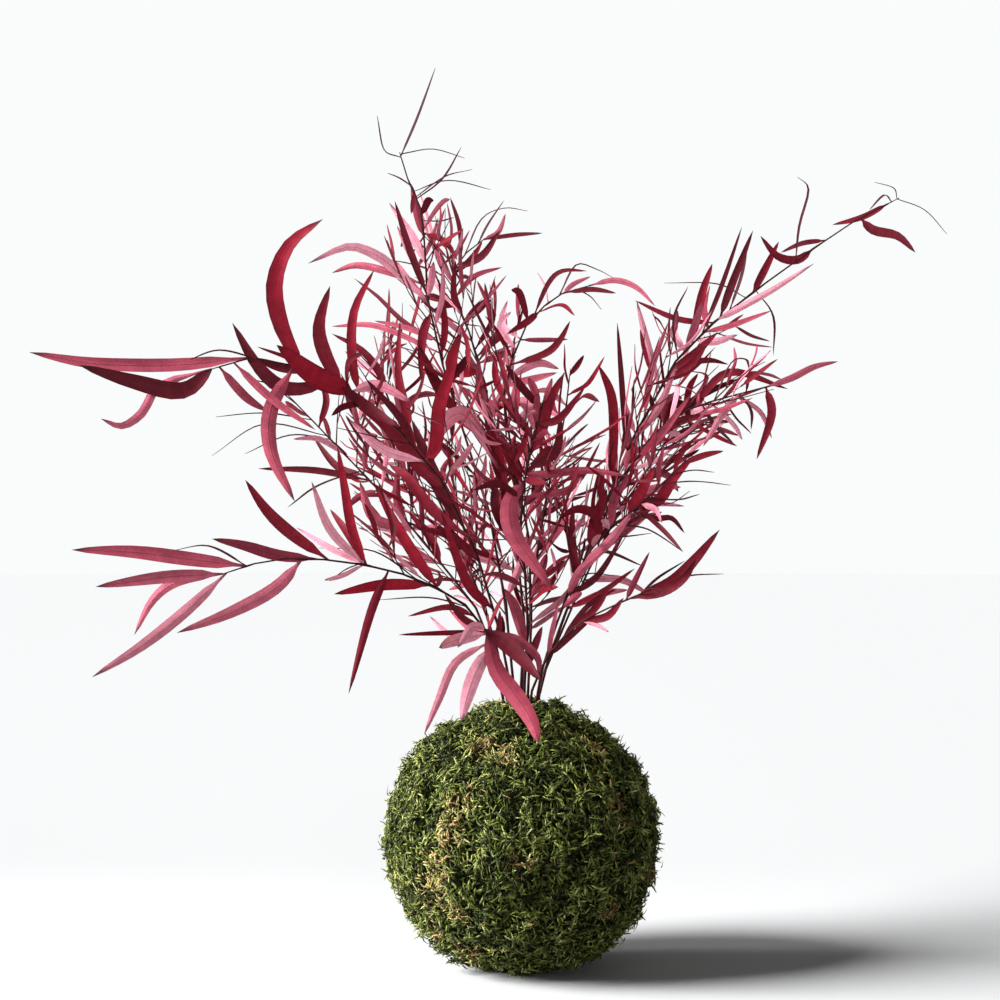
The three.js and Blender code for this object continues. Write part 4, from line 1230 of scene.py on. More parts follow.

# A shoot's tone runs from old dark green at 0 to fresh green, then straw and brown at 1. What
# makes green shoots differ: slow patches as height, scale and phase, their tuft, their own
# nature, their place in the tuft's dome, as painted shade that darkens shoots towards the gaps
# between tufts, and dead moss near them
GREEN = 0.37
GREEN_RANGE = (0.02, 0.68)
GREEN_PATCHES = (0.09, 7, 0.3)
GREEN_SPECKS = (0.07, 21, 4.0)
GREEN_BY_TUFT = 0.07
GREEN_BY_SHOOT = 0.12
DOME_PAINTED_SHADE = 0.16
GREEN_BY_DEAD = 0.14
STRAW, STRAW_BY_BROWN = 0.73, 0.2
STRAW_SPREAD = (-0.06, 0.1)
STRAW_RANGE = (0.7, 1.0)

# Across a shoot's map runs its tone, from here to as far from the other edge. Up it runs its
# length.
TONE_START = 0.03
TONE_SPREAD = 0.008
SHOOT_MAP_START, SHOOT_MAP_HEIGHT, SHOOT_MAP_LEAN = 0.02, 0.96, 0.02

# How likely a shoot is dead, by the patch it is in and uneven growth
DEAD_SPREAD = 1.25
DEAD_UNEVENNESS = (0.25, 19, 2.0)
DEAD_SLOPE, DEAD_START = 1.3, 0.2
DEAD_RANGE = (0.01, 0.74)

# Where dead moss shows: x and z from the ball's middle, as seen from the front, then how far it
# reaches, and how brown it is, 0 for pale straw to 1. The last ones are round the back, with y
# as well.
DEAD_FRONT = (
    (-33.8, 27.9, 6.5, 0.1),
    (-39.3, 16.0, 6.0, 0.0),
    (-38.2, 8.4, 5.0, 0.2),
    (-44.7, -4.0, 6.5, 0.1),
    (-47.4, -14.8, 6.5, 0.0),
    (-43.0, -25.7, 6.0, 0.2),
    (-35.5, -31.1, 6.0, 0.1),
    (-45.8, -44.1, 4.5, 0.2),
    (-29.5, -53.3, 6.0, 0.3),
    (-11.1, 53.4, 5.5, 0.1),
    (-20.3, 56.1, 5.5, 0.2),
    (36.6, 54.5, 6.0, 0.3),
    (49.0, 23.0, 7.0, 0.8),
    (-1.9, -2.4, 5.0, 0.9),
    (69.0, -17.0, 6.0, 0.8),
    (45.8, -33.2, 5.5, 0.8),
)
DEAD_BACK = (
    (40.0, 54.0, 22.0, 7.0, 0.2),
    (-22.0, 66.0, -15.0, 6.5, 0.7),
    (-60.0, 30.0, 24.0, 6.0, 0.1),
    (8.0, 58.0, 40.0, 6.5, 0.3),
    (52.0, 40.0, -28.0, 6.0, 0.8),
)


def dead_places():
    """Each patch of dead moss: its direction, its reach in radians, how brown it is."""
    patches = list(DEAD_BACK)
    for x, z, reach, brown in reversed(DEAD_FRONT):
        y = -math.sqrt(max(MOSS_RADIUS**2 - x * x - z * z, 1.0))
        patches.insert(0, (x, y, z, reach, brown))
    return [
        (unit((x, y, z)), DEAD_SPREAD * reach / MOSS_RADIUS, brown)
        for x, y, z, reach, brown in patches
    ]


def golden_spots(count, jitter, rng):
    """Directions spread evenly over a ball, each then moved a little."""
    number = np.arange(count) + 0.5
    z = 1 - 2 * number / count
    turn = number * math.pi * (1 + math.sqrt(5))
    flat = np.sqrt(1 - z * z)
    ways = np.stack([flat * np.cos(turn), flat * np.sin(turn), z], axis=1)
    spacing = math.sqrt(4 * math.pi / count)
    ways += rng.normal(size=ways.shape) * spacing * jitter / 2
    return unit_rows(ways)


def unit_rows(rows):
    return rows / np.linalg.norm(rows, axis=1, keepdims=True)


def moss_swell(ways):
    """Cushions and tufts of moss, by the same formula as the part's source."""
    x, y, z = ways[:, 0], ways[:, 1], ways[:, 2]
    tufts = np.sin(x * 24 + 1.3) + np.sin(y * 22 + 0.4) + np.sin(z * 25 + 2.1)
    cushions = np.sin(x * 6.2 + y * 3.1) + np.sin(z * 7.3 - x * 2.4 + 1)
    ripple = np.sin(x * 31 + z * 17) * np.sin(y * 29 - z * 13)
    return MOSS_RELIEF * (0.4 * tufts + 0.25 * cushions + 0.5 * ripple)


def on_ball(ways, radius):
    places = ways * np.reshape(radius, (-1, 1))
    places[:, 2] *= BALL_SQUASH
    return places + np.array(BALL_CENTRE)


def shoot_shape(seed):
    """A moss shoot: a pointed stalk plaited with two rows of small leaflets.

    z is the share of its length. Its flat face looks along x, and y runs across it.
    """
    rng = np.random.default_rng(seed)
    bm = tube(3, SHOOT_RINGS)
    top = [vert for vert in bm.verts if vert.co.z > 1 - 1e-4]
    bmesh.ops.pointmerge(bm, verts=top, merge_co=(0, 0, 1))
    bmesh.ops.scale(bm, verts=bm.verts[:], vec=(STALK_RADIUS, STALK_RADIUS, 1))
    for i in range(LEAFLETS):
        share = i / (LEAFLETS - 1)
        made = bmesh.ops.create_cone(
            bm, cap_ends=True, segments=3, radius1=LEAFLET_WIDE, radius2=0, depth=1
        )["verts"]
        bmesh.ops.translate(bm, verts=made, vec=(0, 0, 0.5))
        long = mix(LEAFLET_LONG, LEAFLET_SHORT, share)
        wide = 1.0 - LEAFLET_NARROWING * share
        bmesh.ops.scale(bm, verts=made, vec=(LEAFLET_THIN, wide, long))
        splay = mix(*LEAFLET_SPLAY, share) * (1 if i % 2 else -1)
        splay += rng.uniform(-LEAFLET_STRAY, LEAFLET_STRAY)
        for angle, axis in ((-splay, "X"), (rng.uniform(*LEAFLET_LIFT), "Y")):
            turn = Matrix.Rotation(angle, 3, axis)
            bmesh.ops.rotate(bm, verts=made, cent=(0, 0, 0), matrix=turn)
        bmesh.ops.scale(bm, verts=made, vec=(1, 1, 2 / (SHOOT_SHORT + SHOOT_LONG)))
        low, high = LEAFLET_SPAN
        bmesh.ops.translate(bm, verts=made, vec=(0, 0, low + (high - low) * share))
    return Shape(bm)


def dead_share(ways):
    """How dead the moss is in each direction, 0 to 1, and how brown it is there."""
    most = np.zeros(len(ways))
    brown = np.full(len(ways), 0.5)
    for middle, reach, tint in dead_places():
        gap = np.arccos(np.clip(ways @ np.array(middle), -1, 1))
        share = np.exp(-((gap / reach) ** 2))
        brown = np.where(share > most, tint, brown)
        most = np.maximum(most, share)
    return most, brown


def slow_noise(ways, height, scale, phase):
    """A smooth, uneven value over the ball, from about -height to height."""
    x, y, z = (ways * scale).T
    first = np.sin(x + 1.7 * np.sin(y + phase)) * np.cos(z - 0.8 * x + phase)
    second = np.sin(1.9 * y - z + 2 * phase) * np.cos(2.3 * x + 0.7 * z)
    return height * (0.6 * first + 0.4 * second)


def nearest_tufts(ways, tufts):
    parts = np.array_split(ways, MOSS_PIECES)
    return np.concatenate([np.argmax(part @ tufts.T, axis=1) for part in parts])


def grow_moss(material):
    rng = np.random.default_rng(MOSS_SEED)
    ways = golden_spots(MOSS_SPOTS, SPOT_JITTER, rng)
    tufts = golden_spots(MOSS_TUFTS, TUFT_JITTER, rng)
    tuft_rise = rng.uniform(-1, 1, MOSS_TUFTS)
    tuft_tone = rng.normal(0, 1, MOSS_TUFTS)
    comb = across_rows(rng.normal(size=tufts.shape), tufts)
    own = nearest_tufts(ways, tufts)
    away = ways - tufts[own]
    reach = math.sqrt(4 * math.pi / MOSS_TUFTS) / 2
    gap = np.linalg.norm(away, axis=1) / reach
    away /= np.maximum(np.linalg.norm(away, axis=1, keepdims=True), 1e-6)
    dome = 1 - np.clip(gap, 0, TUFT_EDGE) ** 2

    radius = ROOT_RADIUS + moss_swell(ways) + DOME_RISE * dome + TUFT_RISE * tuft_rise[own]
    radius += rng.normal(0, ROOT_UNEVENNESS, len(ways))
    radius = np.maximum(radius, BED_RADIUS - ROOT_SINK)
    roots = on_ball(ways, radius)
    loose = across_rows(rng.normal(size=ways.shape), ways)
    outward = mix(*OUTWARD, rng.random((len(ways), 1)))
    splay = away * (TUFT_SPLAY * gap[:, None])
    aim = ways * outward + splay + comb[own] * SHOOT_COMB + loose * LOOSENESS
    aim = unit_rows(aim)
    length = rng.uniform(SHOOT_SHORT, SHOOT_LONG, len(ways))
    length = length * (LEAST_GROWTH + (1 - LEAST_GROWTH) * dome)
    stray = rng.random(len(ways)) < STRAY_SHARE
    length[stray] = STRAY_LONG * rng.uniform(*STRAY_LENGTH, stray.sum())

    # Where the ball rests, shoots lie flat on the ground
    sink = roots[:, 2] + length * aim[:, 2] - FLOOR_GAP
    low = sink < 0
    aim[low, 2] = np.maximum(FLOOR_GAP - roots[low, 2], -length[low]) / length[low]
    aim = unit_rows(aim)

    # Shoots arch over: the flat face looks out and the tip bends back to the ball
    bend = across_rows(-ways + BEND_LOOSENESS * rng.normal(size=ways.shape), aim)
    bend[low, 2] = np.abs(bend[low, 2])
    other = np.cross(aim, bend)
    curl = rng.uniform(*SHOOT_CURL, len(ways))
    curl[stray] = rng.uniform(*STRAY_CURL, stray.sum())
    size = rng.uniform(SHOOT_SMALL, SHOOT_BIG, len(ways))
    size[stray] *= STRAY_SIZE

    tone = shoot_tones(ways, dome, tuft_tone[own], rng)
    part = np.minimum((np.arange(len(ways)) * MOSS_PIECES) // len(ways), MOSS_PIECES - 1)
    kind = np.arange(len(ways)) % len(SHOOTS)
    for number in range(MOSS_PIECES):
        stack = Stack()
        for i, shape in enumerate(SHOOTS):
            chosen = (part == number) & (kind == i)
            rows = [value[chosen] for value in (roots, aim, bend, other, length, curl, size)]
            stack.add(shape, shoot_places(shape, *rows), shoot_uvs(shape, tone[chosen]))
        stack.piece(f"moss_shoots_{number + 1}", material, "moss", "moss_cover")


def shoot_tones(ways, dome, tuft_tone, rng):
    """Each shoot's place in the colours of the moss."""
    dead, brown = dead_share(ways)
    dead = dead + slow_noise(ways, *DEAD_UNEVENNESS)
    odds = np.clip(DEAD_SLOPE * dead - DEAD_START, *DEAD_RANGE)
    is_dead = rng.random(len(ways)) < odds
    green = GREEN + slow_noise(ways, *GREEN_PATCHES) + GREEN_BY_TUFT * tuft_tone
    green += slow_noise(ways, *GREEN_SPECKS)
    # Shoots low in a tuft's dome, towards the gaps between tufts, get darker tones as painted
    # shade
    green += GREEN_BY_SHOOT * rng.normal(size=len(ways)) + DOME_PAINTED_SHADE * (dome - 0.5)
    green = np.clip(green + GREEN_BY_DEAD * dead, *GREEN_RANGE)
    straw = STRAW + STRAW_BY_BROWN * brown + rng.uniform(*STRAW_SPREAD, len(ways))
    return np.where(is_dead, np.clip(straw, *STRAW_RANGE), green)


def across_rows(rows, ways):
    """Each row's part at right angles to its way, one long."""
    return unit_rows(rows - ways * np.sum(rows * ways, axis=1, keepdims=True))


def shoot_places(shape, roots, aim, bend, other, length, curl, size):
    t = shape.corners[:, 2]
    offset = shape.corners[:, :2]
    run = (length[:, None] * t)[..., None] * aim[:, None]
    curve = (length[:, None] * curl[:, None] * t * t)[..., None] * bend[:, None]
    deep = (size[:, None] * offset[:, 0])[..., None] * bend[:, None]
    across = (size[:, None] * offset[:, 1])[..., None] * other[:, None]
    places = roots[:, None] + run + curve + deep + across
    places[..., 2] = np.maximum(places[..., 2], FLOOR_GAP / 2 + LYING_RISE * t)
    return places


def shoot_uvs(shape, tone):
    """Across the map runs the tone of the moss, and up it the share of a shoot's length."""
    corner = shape.corners[shape.loops]
    spread = TONE_SPREAD * np.clip(corner[:, 0], -1, 1)[None, :]
    u = TONE_START + (1 - 2 * TONE_START) * tone[:, None] + spread
    share = np.clip(corner[:, 2] + SHOOT_MAP_LEAN * corner[:, 1], 0, 1)
    v = SHOOT_MAP_START + SHOOT_MAP_HEIGHT * share
    return np.stack([u, np.broadcast_to(v, u.shape)], axis=-1)


def make_bed(material):
    """The lumpy mat under the shoots, closed all round and flat where the ball rests, coloured
    near black as painted shade.
    """
    bm = bmesh.new()
    bmesh.ops.create_icosphere(bm, subdivisions=BED_SUBDIVISIONS, radius=1)
    ways = unit_rows(np.array([vert.co[:] for vert in bm.verts]))
    grain = sum(slow_noise(ways, *lump) for lump in BED_LUMPS)
    places = on_ball(ways, BED_RADIUS + moss_swell(ways) + grain)
    places[:, 2] = np.maximum(places[:, 2], FLOOR_GAP / 2)
    for vert, place in zip(bm.verts, places):
        vert.co = place * MM
    mesh = bpy.data.meshes.new("moss_bed_shade")
    bm.to_mesh(mesh)
    bm.free()
    mesh.shade_smooth()
    placed(bpy.data.objects.new("moss_bed_shade", mesh), material, "moss_cover")


# ---- materials ----


def socket(tree, node_type, settings=None, inputs=None, out=0):
    """Adds a node, sets it up and links it, and returns one of its outputs."""
    node = tree.nodes.new(node_type)
    for name, value in (settings or {}).items():
        setattr(node, name, value)
    for name, value in (inputs or {}).items():
        if isinstance(value, bpy.types.NodeSocket):
            tree.links.new(value, node.inputs[name])
        else:
            node.inputs[name].default_value = value
    return node.outputs[out]


def maths(tree, operation, first, second=0.0, third=0.0):
    return socket(
        tree, "ShaderNodeMath", {"operation": operation}, {0: first, 1: second, 2: third}
    )


def between(tree, value, start, end, low=0.0, high=1.0, way="SMOOTHSTEP"):
    """Maps start..end to low..high and no further."""
    inputs = {"Value": value, "From Min": start, "From Max": end, "To Min": low, "To Max": high}
    return socket(tree, "ShaderNodeMapRange", {"interpolation_type": way}, inputs)


def stretched(tree, place, across, up):
    """A place on the map drawn out, so that a pattern on it runs along the piece."""
    inputs = {0: place, 1: (across, up, 1)}
    return socket(tree, "ShaderNodeVectorMath", {"operation": "MULTIPLY"}, inputs)


def map_place(tree):
    """A place on the piece's own map, then how far across and how far up it is."""
    place = socket(tree, "ShaderNodeUVMap", {"uv_map": BAKE_MAP})
    split = tree.nodes.new("ShaderNodeSeparateXYZ")
    tree.links.new(place, split.inputs["Vector"])
    return place, split.outputs["X"], split.outputs["Y"]


def ramp(tree, value, stops):
    """A colour for each value, straight between the stops."""
    node = tree.nodes.new("ShaderNodeValToRGB")
    elements = node.color_ramp.elements
    for i, (position, colour) in enumerate(stops):
        element = elements[i] if i < 2 else elements.new(position)
        element.position = position
        element.color = (*colour, 1)
    tree.links.new(value, node.inputs[0])
    return node.outputs[0]


# A mix node has sockets for every kind of value. These are the ones for colours.
MIX_SHARE, MIX_FIRST, MIX_SECOND, MIX_RESULT = 0, 6, 7, 2


def blended(tree, share, first, second, mode="MIX"):
    node = tree.nodes.new("ShaderNodeMix")
    node.data_type = "RGBA"
    node.blend_type = mode
    for i, value in ((MIX_SHARE, share), (MIX_FIRST, first), (MIX_SECOND, second)):
        if isinstance(value, bpy.types.NodeSocket):
            tree.links.new(value, node.inputs[i])
        else:
            node.inputs[i].default_value = value if i == MIX_SHARE else (*value, 1)
    return node.outputs[MIX_RESULT]


def shaded(tree, colour, shade):
    """A colour times a plain value."""
    inputs = {"Red": shade, "Green": shade, "Blue": shade}
    grey = socket(tree, "ShaderNodeCombineColor", None, inputs)
    return blended(tree, 1.0, colour, grey, "MULTIPLY")


def plain_material(name):
    material = bpy.data.materials.new(name)
    material.use_nodes = True
    tree = material.node_tree
    return material, tree, tree.nodes["Principled BSDF"]


# Uneven growth: how fine and how strong each of two sizes of blotch is, and how much of their
# range counts
MOTTLE_DETAIL = (2, 3)
MOTTLE_SHARES = (0.6, 0.4)
MOTTLE_RANGE = (0.3, 0.7)


def mottle_group():
    """Two sizes of blotch added up, from Low to High."""
    group = bpy.data.node_groups.new("mottle", "ShaderNodeTree")
    face = group.interface
    face.new_socket("Place", in_out="INPUT", socket_type="NodeSocketVector")
    for name, value in (("Scale", 50.0), ("Fine Scale", 400.0), ("Low", 0.0), ("High", 1.0)):
        made = face.new_socket(name, in_out="INPUT", socket_type="NodeSocketFloat")
        made.default_value = value
    face.new_socket("Value", in_out="OUTPUT", socket_type="NodeSocketFloat")
    start = group.nodes.new("NodeGroupInput").outputs
    end = group.nodes.new("NodeGroupOutput").inputs
    parts = []
    for name, detail, share in zip(("Scale", "Fine Scale"), MOTTLE_DETAIL, MOTTLE_SHARES):
        inputs = {"Vector": start["Place"], "Scale": start[name], "Detail": detail}
        noise = socket(group, "ShaderNodeTexNoise", None, inputs)
        parts.append(maths(group, "MULTIPLY", noise, share))
    both = maths(group, "ADD", *parts)
    value = between(group, both, *MOTTLE_RANGE, start["Low"], start["High"], "LINEAR")
    group.links.new(value, end["Value"])
    return group


def mottled(tree, group, place, scale, fine_scale, low, high):
    node = tree.nodes.new("ShaderNodeGroup")
    node.node_tree = group
    tree.links.new(place, node.inputs["Place"])
    values = {"Scale": scale, "Fine Scale": fine_scale, "Low": low, "High": high}
    for name, value in values.items():
        node.inputs[name].default_value = value
    return node.outputs["Value"]


def finish(tree, shader, colour, roughness, specular, height, strength, depth):
    """Gives a shader its colour, its gloss and its relief, which is depth millimetres deep."""
    tree.links.new(colour, shader.inputs["Base Color"])
    tree.links.new(roughness, shader.inputs["Roughness"])
    shader.inputs["Specular IOR Level"].default_value = specular
    inputs = {"Strength": strength, "Distance": depth * MM, "Height": height}
    tree.links.new(socket(tree, "ShaderNodeBump", None, inputs), shader.inputs["Normal"])


# Linear colours of the leaves' upper side and underside, from the brightest tone to the darkest.
# They are partly the leaves' own colour and partly painted light and shade, as each placed leaf's
# look sets them.
UPPER_STOPS = (
    (0.0, (0.360, 0.010, 0.027)),
    (0.29, (0.268, 0.010, 0.026)),
    (0.57, (0.188, 0.010, 0.023)),
    (0.72, (0.122, 0.010, 0.019)),
    (0.86, (0.050, 0.012, 0.016)),
    (1.0, (0.090, 0.018, 0.026)),
)
UNDER_STOPS = (
    (0.0, (0.860, 0.340, 0.440)),
    (0.29, (0.620, 0.145, 0.215)),
    (0.57, (0.372, 0.060, 0.098)),
    (0.72, (0.258, 0.032, 0.057)),
    (0.86, (0.100, 0.032, 0.040)),
    (1.0, (0.170, 0.040, 0.056)),
)
LEAF_TIP = (0.035, 0.012, 0.014)
UPPER_EDGE = (0.09, 0.010, 0.015)
UNDER_RIB = UNDER_STOPS[3][1]

# Where things lie on a blade: across from the midrib at 0 to the edge at 1, or up from its foot
RIB_REACH = 0.16
EDGE_START = 0.72
TIP_SPAN = (0.86, 0.98)
STALK_SPAN = (0.02, 0.1)

# How strongly each shows in the colour, and in the relief
EDGE_TINT, RIB_TINT, END_TINT, STREAK_TINT = 0.55, 0.35, 0.8, 0.16
UPPER_RIB_RELIEF, LOWER_RIB_RELIEF, STREAK_RELIEF = 0.5, 2.5, 0.3

# How far a pattern is drawn out, across and up the map
BLOTCH_STRETCH = (LEAF_COLUMNS, 9.0)
STREAK_STRETCH = (LEAF_COLUMNS * 9.0, 2.5)
SHOOT_STRETCH = (90.0, 7.0)

# Mottles: scale, fine scale, least and most
LEAF_BLOTCH = (1.6, 9.0, 0.72, 1.22)
LEAF_STREAK = (1.0, 2.2, -1.0, 1.0)
LEAF_ROUGHNESS = (3.0, 14.0, 0.5, 0.68)
SHOOT_BLOTCH = (1.0, 3.0, 0.75, 1.25)
SHOOT_ROUGHNESS = (1.0, 4.0, 0.35, 0.6)

# Gloss, and each relief's strength and depth in millimetres
LEAF_SPECULAR, MATT_SPECULAR, SHOOT_SPECULAR = 0.1, 0.08, 0.3
LEAF_RELIEF = (0.5, 0.12)
SHOOT_RELIEF = (0.4, 0.05)
MATT_RELIEF_STRENGTH = 0.7


def leaf_material(mottle):
    """Crimson above and dusty pink below: a midrib, fine streaks along it, dark edge and tip."""
    material, tree, shader = plain_material("dyed_leaf")
    place, across, up = map_place(tree)
    column_place = maths(tree, "MULTIPLY", across, LEAF_COLUMNS)
    column = maths(tree, "FLOOR", column_place)
    inside = maths(tree, "FRACT", column_place)
    underside = maths(tree, "MODULO", column, 2)
    pair = maths(tree, "FLOOR", maths(tree, "DIVIDE", column, 2))
    tone = maths(tree, "DIVIDE", pair, LEAF_TONES - 1)
    out = maths(tree, "ABSOLUTE", maths(tree, "SUBTRACT", inside, 0.5))
    out = maths(tree, "DIVIDE", out, 0.5 - COLUMN_MARGIN)

    blotch_place = stretched(tree, place, *BLOTCH_STRETCH)
    blotch = mottled(tree, mottle, blotch_place, *LEAF_BLOTCH)
    streak_place = stretched(tree, place, *STREAK_STRETCH)
    streak = mottled(tree, mottle, streak_place, *LEAF_STREAK)
    midrib = between(tree, out, 0.0, RIB_REACH, 1.0, 0.0)
    edge = between(tree, out, EDGE_START, 1.0)
    tip = between(tree, up, *TIP_SPAN)
    stalk = between(tree, up, *STALK_SPAN, 1.0, 0.0)
    ends = maths(tree, "MAXIMUM", tip, stalk)

    edge = maths(tree, "MULTIPLY", edge, EDGE_TINT)
    upper = blended(tree, edge, ramp(tree, tone, UPPER_STOPS), UPPER_EDGE)
    rib = maths(tree, "MULTIPLY", midrib, RIB_TINT)
    lower = blended(tree, rib, ramp(tree, tone, UNDER_STOPS), UNDER_RIB)
    colour = blended(tree, underside, upper, lower)
    shade = maths(tree, "MULTIPLY_ADD", streak, STREAK_TINT, 1.0)
    colour = shaded(tree, colour, maths(tree, "MULTIPLY", shade, blotch))
    colour = blended(tree, maths(tree, "MULTIPLY", ends, END_TINT), colour, LEAF_TIP)
    roughness = mottled(tree, mottle, blotch_place, *LEAF_ROUGHNESS)

    more = LOWER_RIB_RELIEF - UPPER_RIB_RELIEF
    rise = maths(tree, "MULTIPLY_ADD", underside, more, UPPER_RIB_RELIEF)
    ribs = maths(tree, "MULTIPLY", midrib, rise)
    height = maths(tree, "ADD", ribs, maths(tree, "MULTIPLY", streak, STREAK_RELIEF))
    finish(tree, shader, colour, roughness, LEAF_SPECULAR, height, *LEAF_RELIEF)
    return material


def mottled_material(mottle, name, scales, stops, roughness, depth):
    """A matt natural surface: colours by uneven growth, with fine relief, depth in mm."""
    material, tree, shader = plain_material(name)
    place = socket(tree, "ShaderNodeTexCoord", out="Object")
    blotch = mottled(tree, mottle, place, *scales, 0.0, 1.0)
    colour = ramp(tree, blotch, stops)
    roughness = mottled(tree, mottle, place, *scales, *roughness)
    finish(
        tree, shader, colour, roughness, MATT_SPECULAR, blotch, MATT_RELIEF_STRENGTH, depth
    )
    return material


# Linear colours of the moss, from old dark green through fresh green to straw and brown
MOSS_STOPS = (
    (0.0, (0.010, 0.016, 0.003)),
    (0.22, (0.052, 0.076, 0.012)),
    (0.42, (0.175, 0.220, 0.034)),
    (0.58, (0.390, 0.440, 0.110)),
    (0.68, (0.520, 0.500, 0.190)),
    (0.76, (0.540, 0.390, 0.150)),
    (0.88, (0.330, 0.190, 0.075)),
    (1.0, (0.160, 0.080, 0.032)),
)

# And of the stems, of the mat under the shoots and of the soil, from the hollows to the heights.
# The mat's near-black colours are painted shade down between the shoots.
STEM_STOPS = (
    (0.0, (0.018, 0.006, 0.006)),
    (0.6, (0.050, 0.011, 0.012)),
    (1.0, (0.130, 0.024, 0.024)),
)
# Painted shade: the near-black mat seen down between the shoots
BED_SHADE_STOPS = (
    (0.0, (0.003, 0.004, 0.001)),
    (0.5, (0.008, 0.011, 0.002)),
    (1.0, (0.030, 0.036, 0.006)),
)
SOIL_STOPS = (
    (0.0, (0.010, 0.006, 0.004)),
    (0.5, (0.035, 0.020, 0.012)),
    (1.0, (0.090, 0.055, 0.032)),
)

# Name, scale and fine scale of the mottle, colours, least and most roughness, depth of relief
MATT_FINISHES = (
    ("dark_stem", (260.0, 1500.0), STEM_STOPS, (0.45, 0.65), 0.12),
    ("moss_bed_shade", (140.0, 900.0), BED_SHADE_STOPS, (0.8, 0.95), 0.5),
    ("peat_soil", (160.0, 1100.0), SOIL_STOPS, (0.85, 0.98), 0.6),
)

# How bright a shoot's colour is from its foot to its tip: painted shade darkening the foot down
# among the shoots, and painted light on the tip over its own fresher, paler green
SHOOT_PAINTED_SHADE_AND_LIGHT = (
    (0.0, (0.08,) * 3),
    (0.3, (0.42,) * 3),
    (0.62, (1.0,) * 3),
    (1.0, (1.7,) * 3),
)


def moss_material(mottle):
    """Moss shoots: their tone runs across the map; up it, painted shade darkens the roots and
    painted light brightens the tips.
    """
    material, tree, shader = plain_material("moss_shoot")
    place, across, up = map_place(tree)
    tone = between(tree, across, TONE_START, 1 - TONE_START, way="LINEAR")
    # Painted shade at each shoot's foot and painted light at its tip
    light = ramp(tree, up, SHOOT_PAINTED_SHADE_AND_LIGHT)
    blotch_place = stretched(tree, place, *SHOOT_STRETCH)
    blotch = mottled(tree, mottle, blotch_place, *SHOOT_BLOTCH)
    colour = blended(tree, 1.0, ramp(tree, tone, MOSS_STOPS), light, "MULTIPLY")
    colour = shaded(tree, colour, blotch)
    roughness = mottled(tree, mottle, blotch_place, *SHOOT_ROUGHNESS)
    finish(tree, shader, colour, roughness, SHOOT_SPECULAR, blotch, *SHOOT_RELIEF)
    return material


# ---- the object ----

SLIM_BLADE = blade_shape(SLIM_ACROSS, BLADE_STEPS)
WIDE_BLADE = blade_shape(BLADE_ACROSS, BLADE_STEPS)
STEM_TUBE = Shape(tube(STEM_SIDES, STEM_STEPS))
TWIG_TUBE = Shape(tube(TWIG_SIDES, TWIG_STEPS))
SHOOTS = [shoot_shape(seed) for seed in SHOOT_SEEDS]

mottle = mottle_group()
leaf_finish = leaf_material(mottle)
stem_finish, bed_shade_finish, soil_finish = (
    mottled_material(mottle, *values) for values in MATT_FINISHES
)
shoot_finish = moss_material(mottle)

stem_lines, grown = grow_sprays()
for owner, (name, line) in enumerate(stem_lines.items()):
    twigs, young = grow_twigs(name, owner, line)
    make_leaves(name, owner, grown[name] + young, leaf_finish)
    make_stem(name, line, grown[name], twigs, stem_finish)
make_bed(bed_shade_finish)
grow_moss(shoot_finish)

for material_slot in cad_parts["soil_core"].material_slots:
    material_slot.material = soil_finish

# ---- floor, light and camera ----

FLOOR_RADIUS = 6.0
FLOOR_SIDES = 96
FLOOR_ROUGHNESS = 0.9
FLOOR_SEEN = (0.750, 0.761, 0.766)
FLOOR_BOUNCE = (0.46, 0.45, 0.44)
BACKDROP = (0.955, 0.975, 0.975)
AMBIENT = (0.1, 0.1, 0.1)
KEY_POWER = 7.6
KEY_SOFTNESS = 30
KEY_PLACE = (-1.55, -0.32, 0.95)
KEY_TARGET = (0, 0, 0.1)

# Name, place, what it is aimed at, power, cone in degrees, blend, radius of the lamp
SPOTS = (
    ("fill", (0.25, -1.6, 0.62), (0.0, 0.0, 0.45), 72.0, 21, 0.5, 0.3),
    ("side", (-1.53, 0.16, 0.22), (-0.02, 0.0, 0.05), 450.0, 9, 0.45, 0.24),
)
PHOTO_WIDTH = 541.5
SENSOR = 36.0
NEAREST_SEEN = 0.01


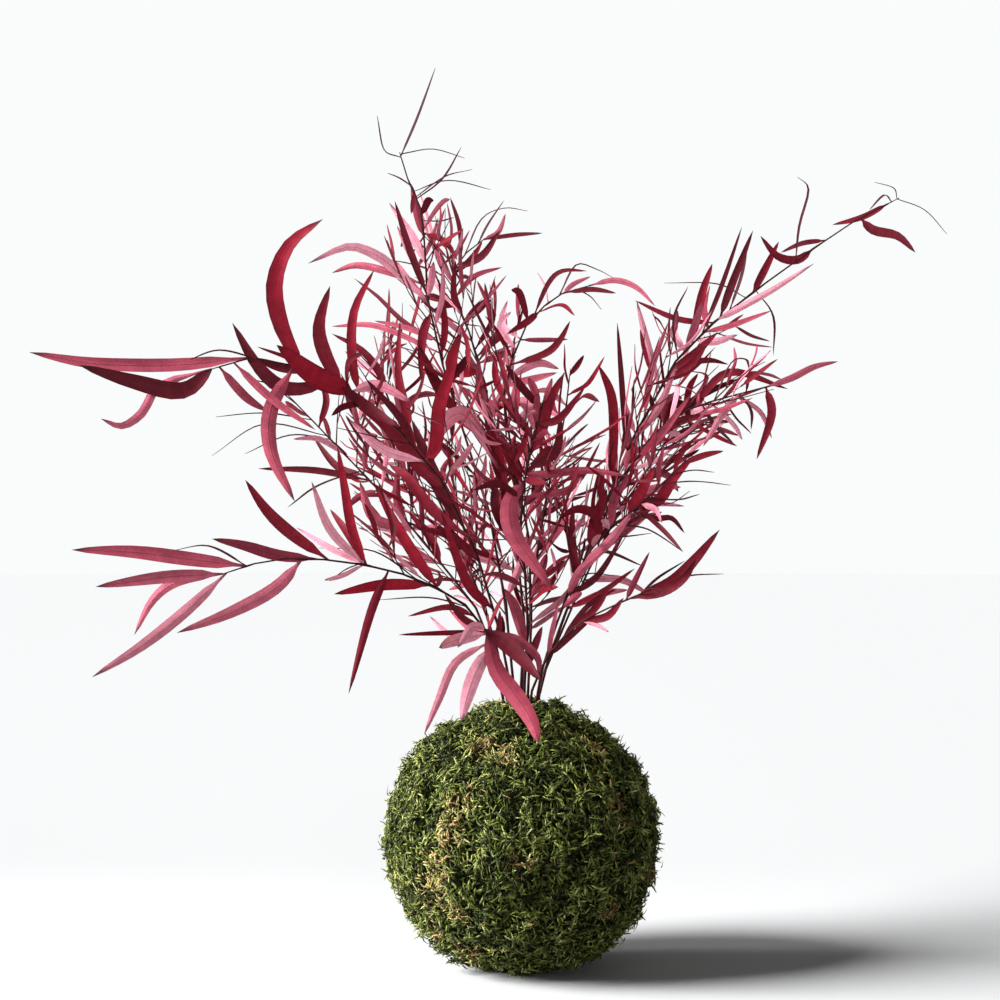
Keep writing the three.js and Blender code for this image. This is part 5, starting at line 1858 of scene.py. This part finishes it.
def make_floor():
    """A wide pale floor that throws less light back on to the plant than it shows."""
    bm = bmesh.new()
    bmesh.ops.create_circle(bm, cap_ends=True, segments=FLOOR_SIDES, radius=FLOOR_RADIUS)
    mesh = bpy.data.meshes.new("floor")
    bm.to_mesh(mesh)
    bm.free()
    floor = bpy.data.objects.new("floor", mesh)
    bpy.context.scene.collection.objects.link(floor)
    material, tree, shader = plain_material("pale_floor")
    path = tree.nodes.new("ShaderNodeLightPath")
    colour = blended(tree, path.outputs["Is Camera Ray"], FLOOR_BOUNCE, FLOOR_SEEN)
    tree.links.new(colour, shader.inputs["Base Color"])
    shader.inputs["Roughness"].default_value = FLOOR_ROUGHNESS
    shader.inputs["Specular IOR Level"].default_value = 0.0
    mesh.materials.append(material)


def make_light(name, kind, place, target, power):
    lamp = bpy.data.lights.new(name, kind)
    lamp.energy = power
    light = bpy.data.objects.new(name, lamp)
    light.location = place
    aim = Vector(target) - Vector(place)
    light.rotation_euler = aim.to_track_quat("-Z", "Y").to_euler()
    bpy.context.scene.collection.objects.link(light)
    return lamp


def make_world():
    world = bpy.data.worlds.new("studio")
    world.use_nodes = True
    tree = world.node_tree
    backdrop = tree.nodes["Background"]
    backdrop.inputs["Color"].default_value = (*BACKDROP, 1)
    glow = tree.nodes.new("ShaderNodeBackground")
    glow.inputs["Color"].default_value = (*AMBIENT, 1)
    path = tree.nodes.new("ShaderNodeLightPath")
    choice = tree.nodes.new("ShaderNodeMixShader")
    tree.links.new(path.outputs["Is Camera Ray"], choice.inputs[0])
    tree.links.new(glow.outputs[0], choice.inputs[1])
    tree.links.new(backdrop.outputs[0], choice.inputs[2])
    tree.links.new(choice.outputs[0], tree.nodes["World Output"].inputs["Surface"])
    bpy.context.scene.world = world


def make_camera():
    """Looks level at the plant from the eye's place, as wide as the photograph."""
    lens = bpy.data.cameras.new("camera")
    lens.sensor_width = SENSOR
    lens.lens = SENSOR * EYE_DISTANCE / PHOTO_WIDTH
    lens.clip_start = NEAREST_SEEN
    camera = bpy.data.objects.new("camera", lens)
    camera.location = (EYE_X * MM, -EYE_DISTANCE * MM, EYE_Z * MM)
    camera.rotation_euler = (math.radians(90), 0, 0)
    bpy.context.scene.collection.objects.link(camera)
    bpy.context.scene.camera = camera


make_floor()
make_light("key", "SUN", KEY_PLACE, KEY_TARGET, KEY_POWER).angle = math.radians(KEY_SOFTNESS)
for name, place, target, power, cone, blend, radius in SPOTS:
    lamp = make_light(name, "SPOT", place, target, power)
    lamp.spot_size = math.radians(cone)
    lamp.spot_blend = blend
    lamp.shadow_soft_size = radius
make_world()
make_camera()
bpy.context.scene.view_settings.view_transform = "Standard"
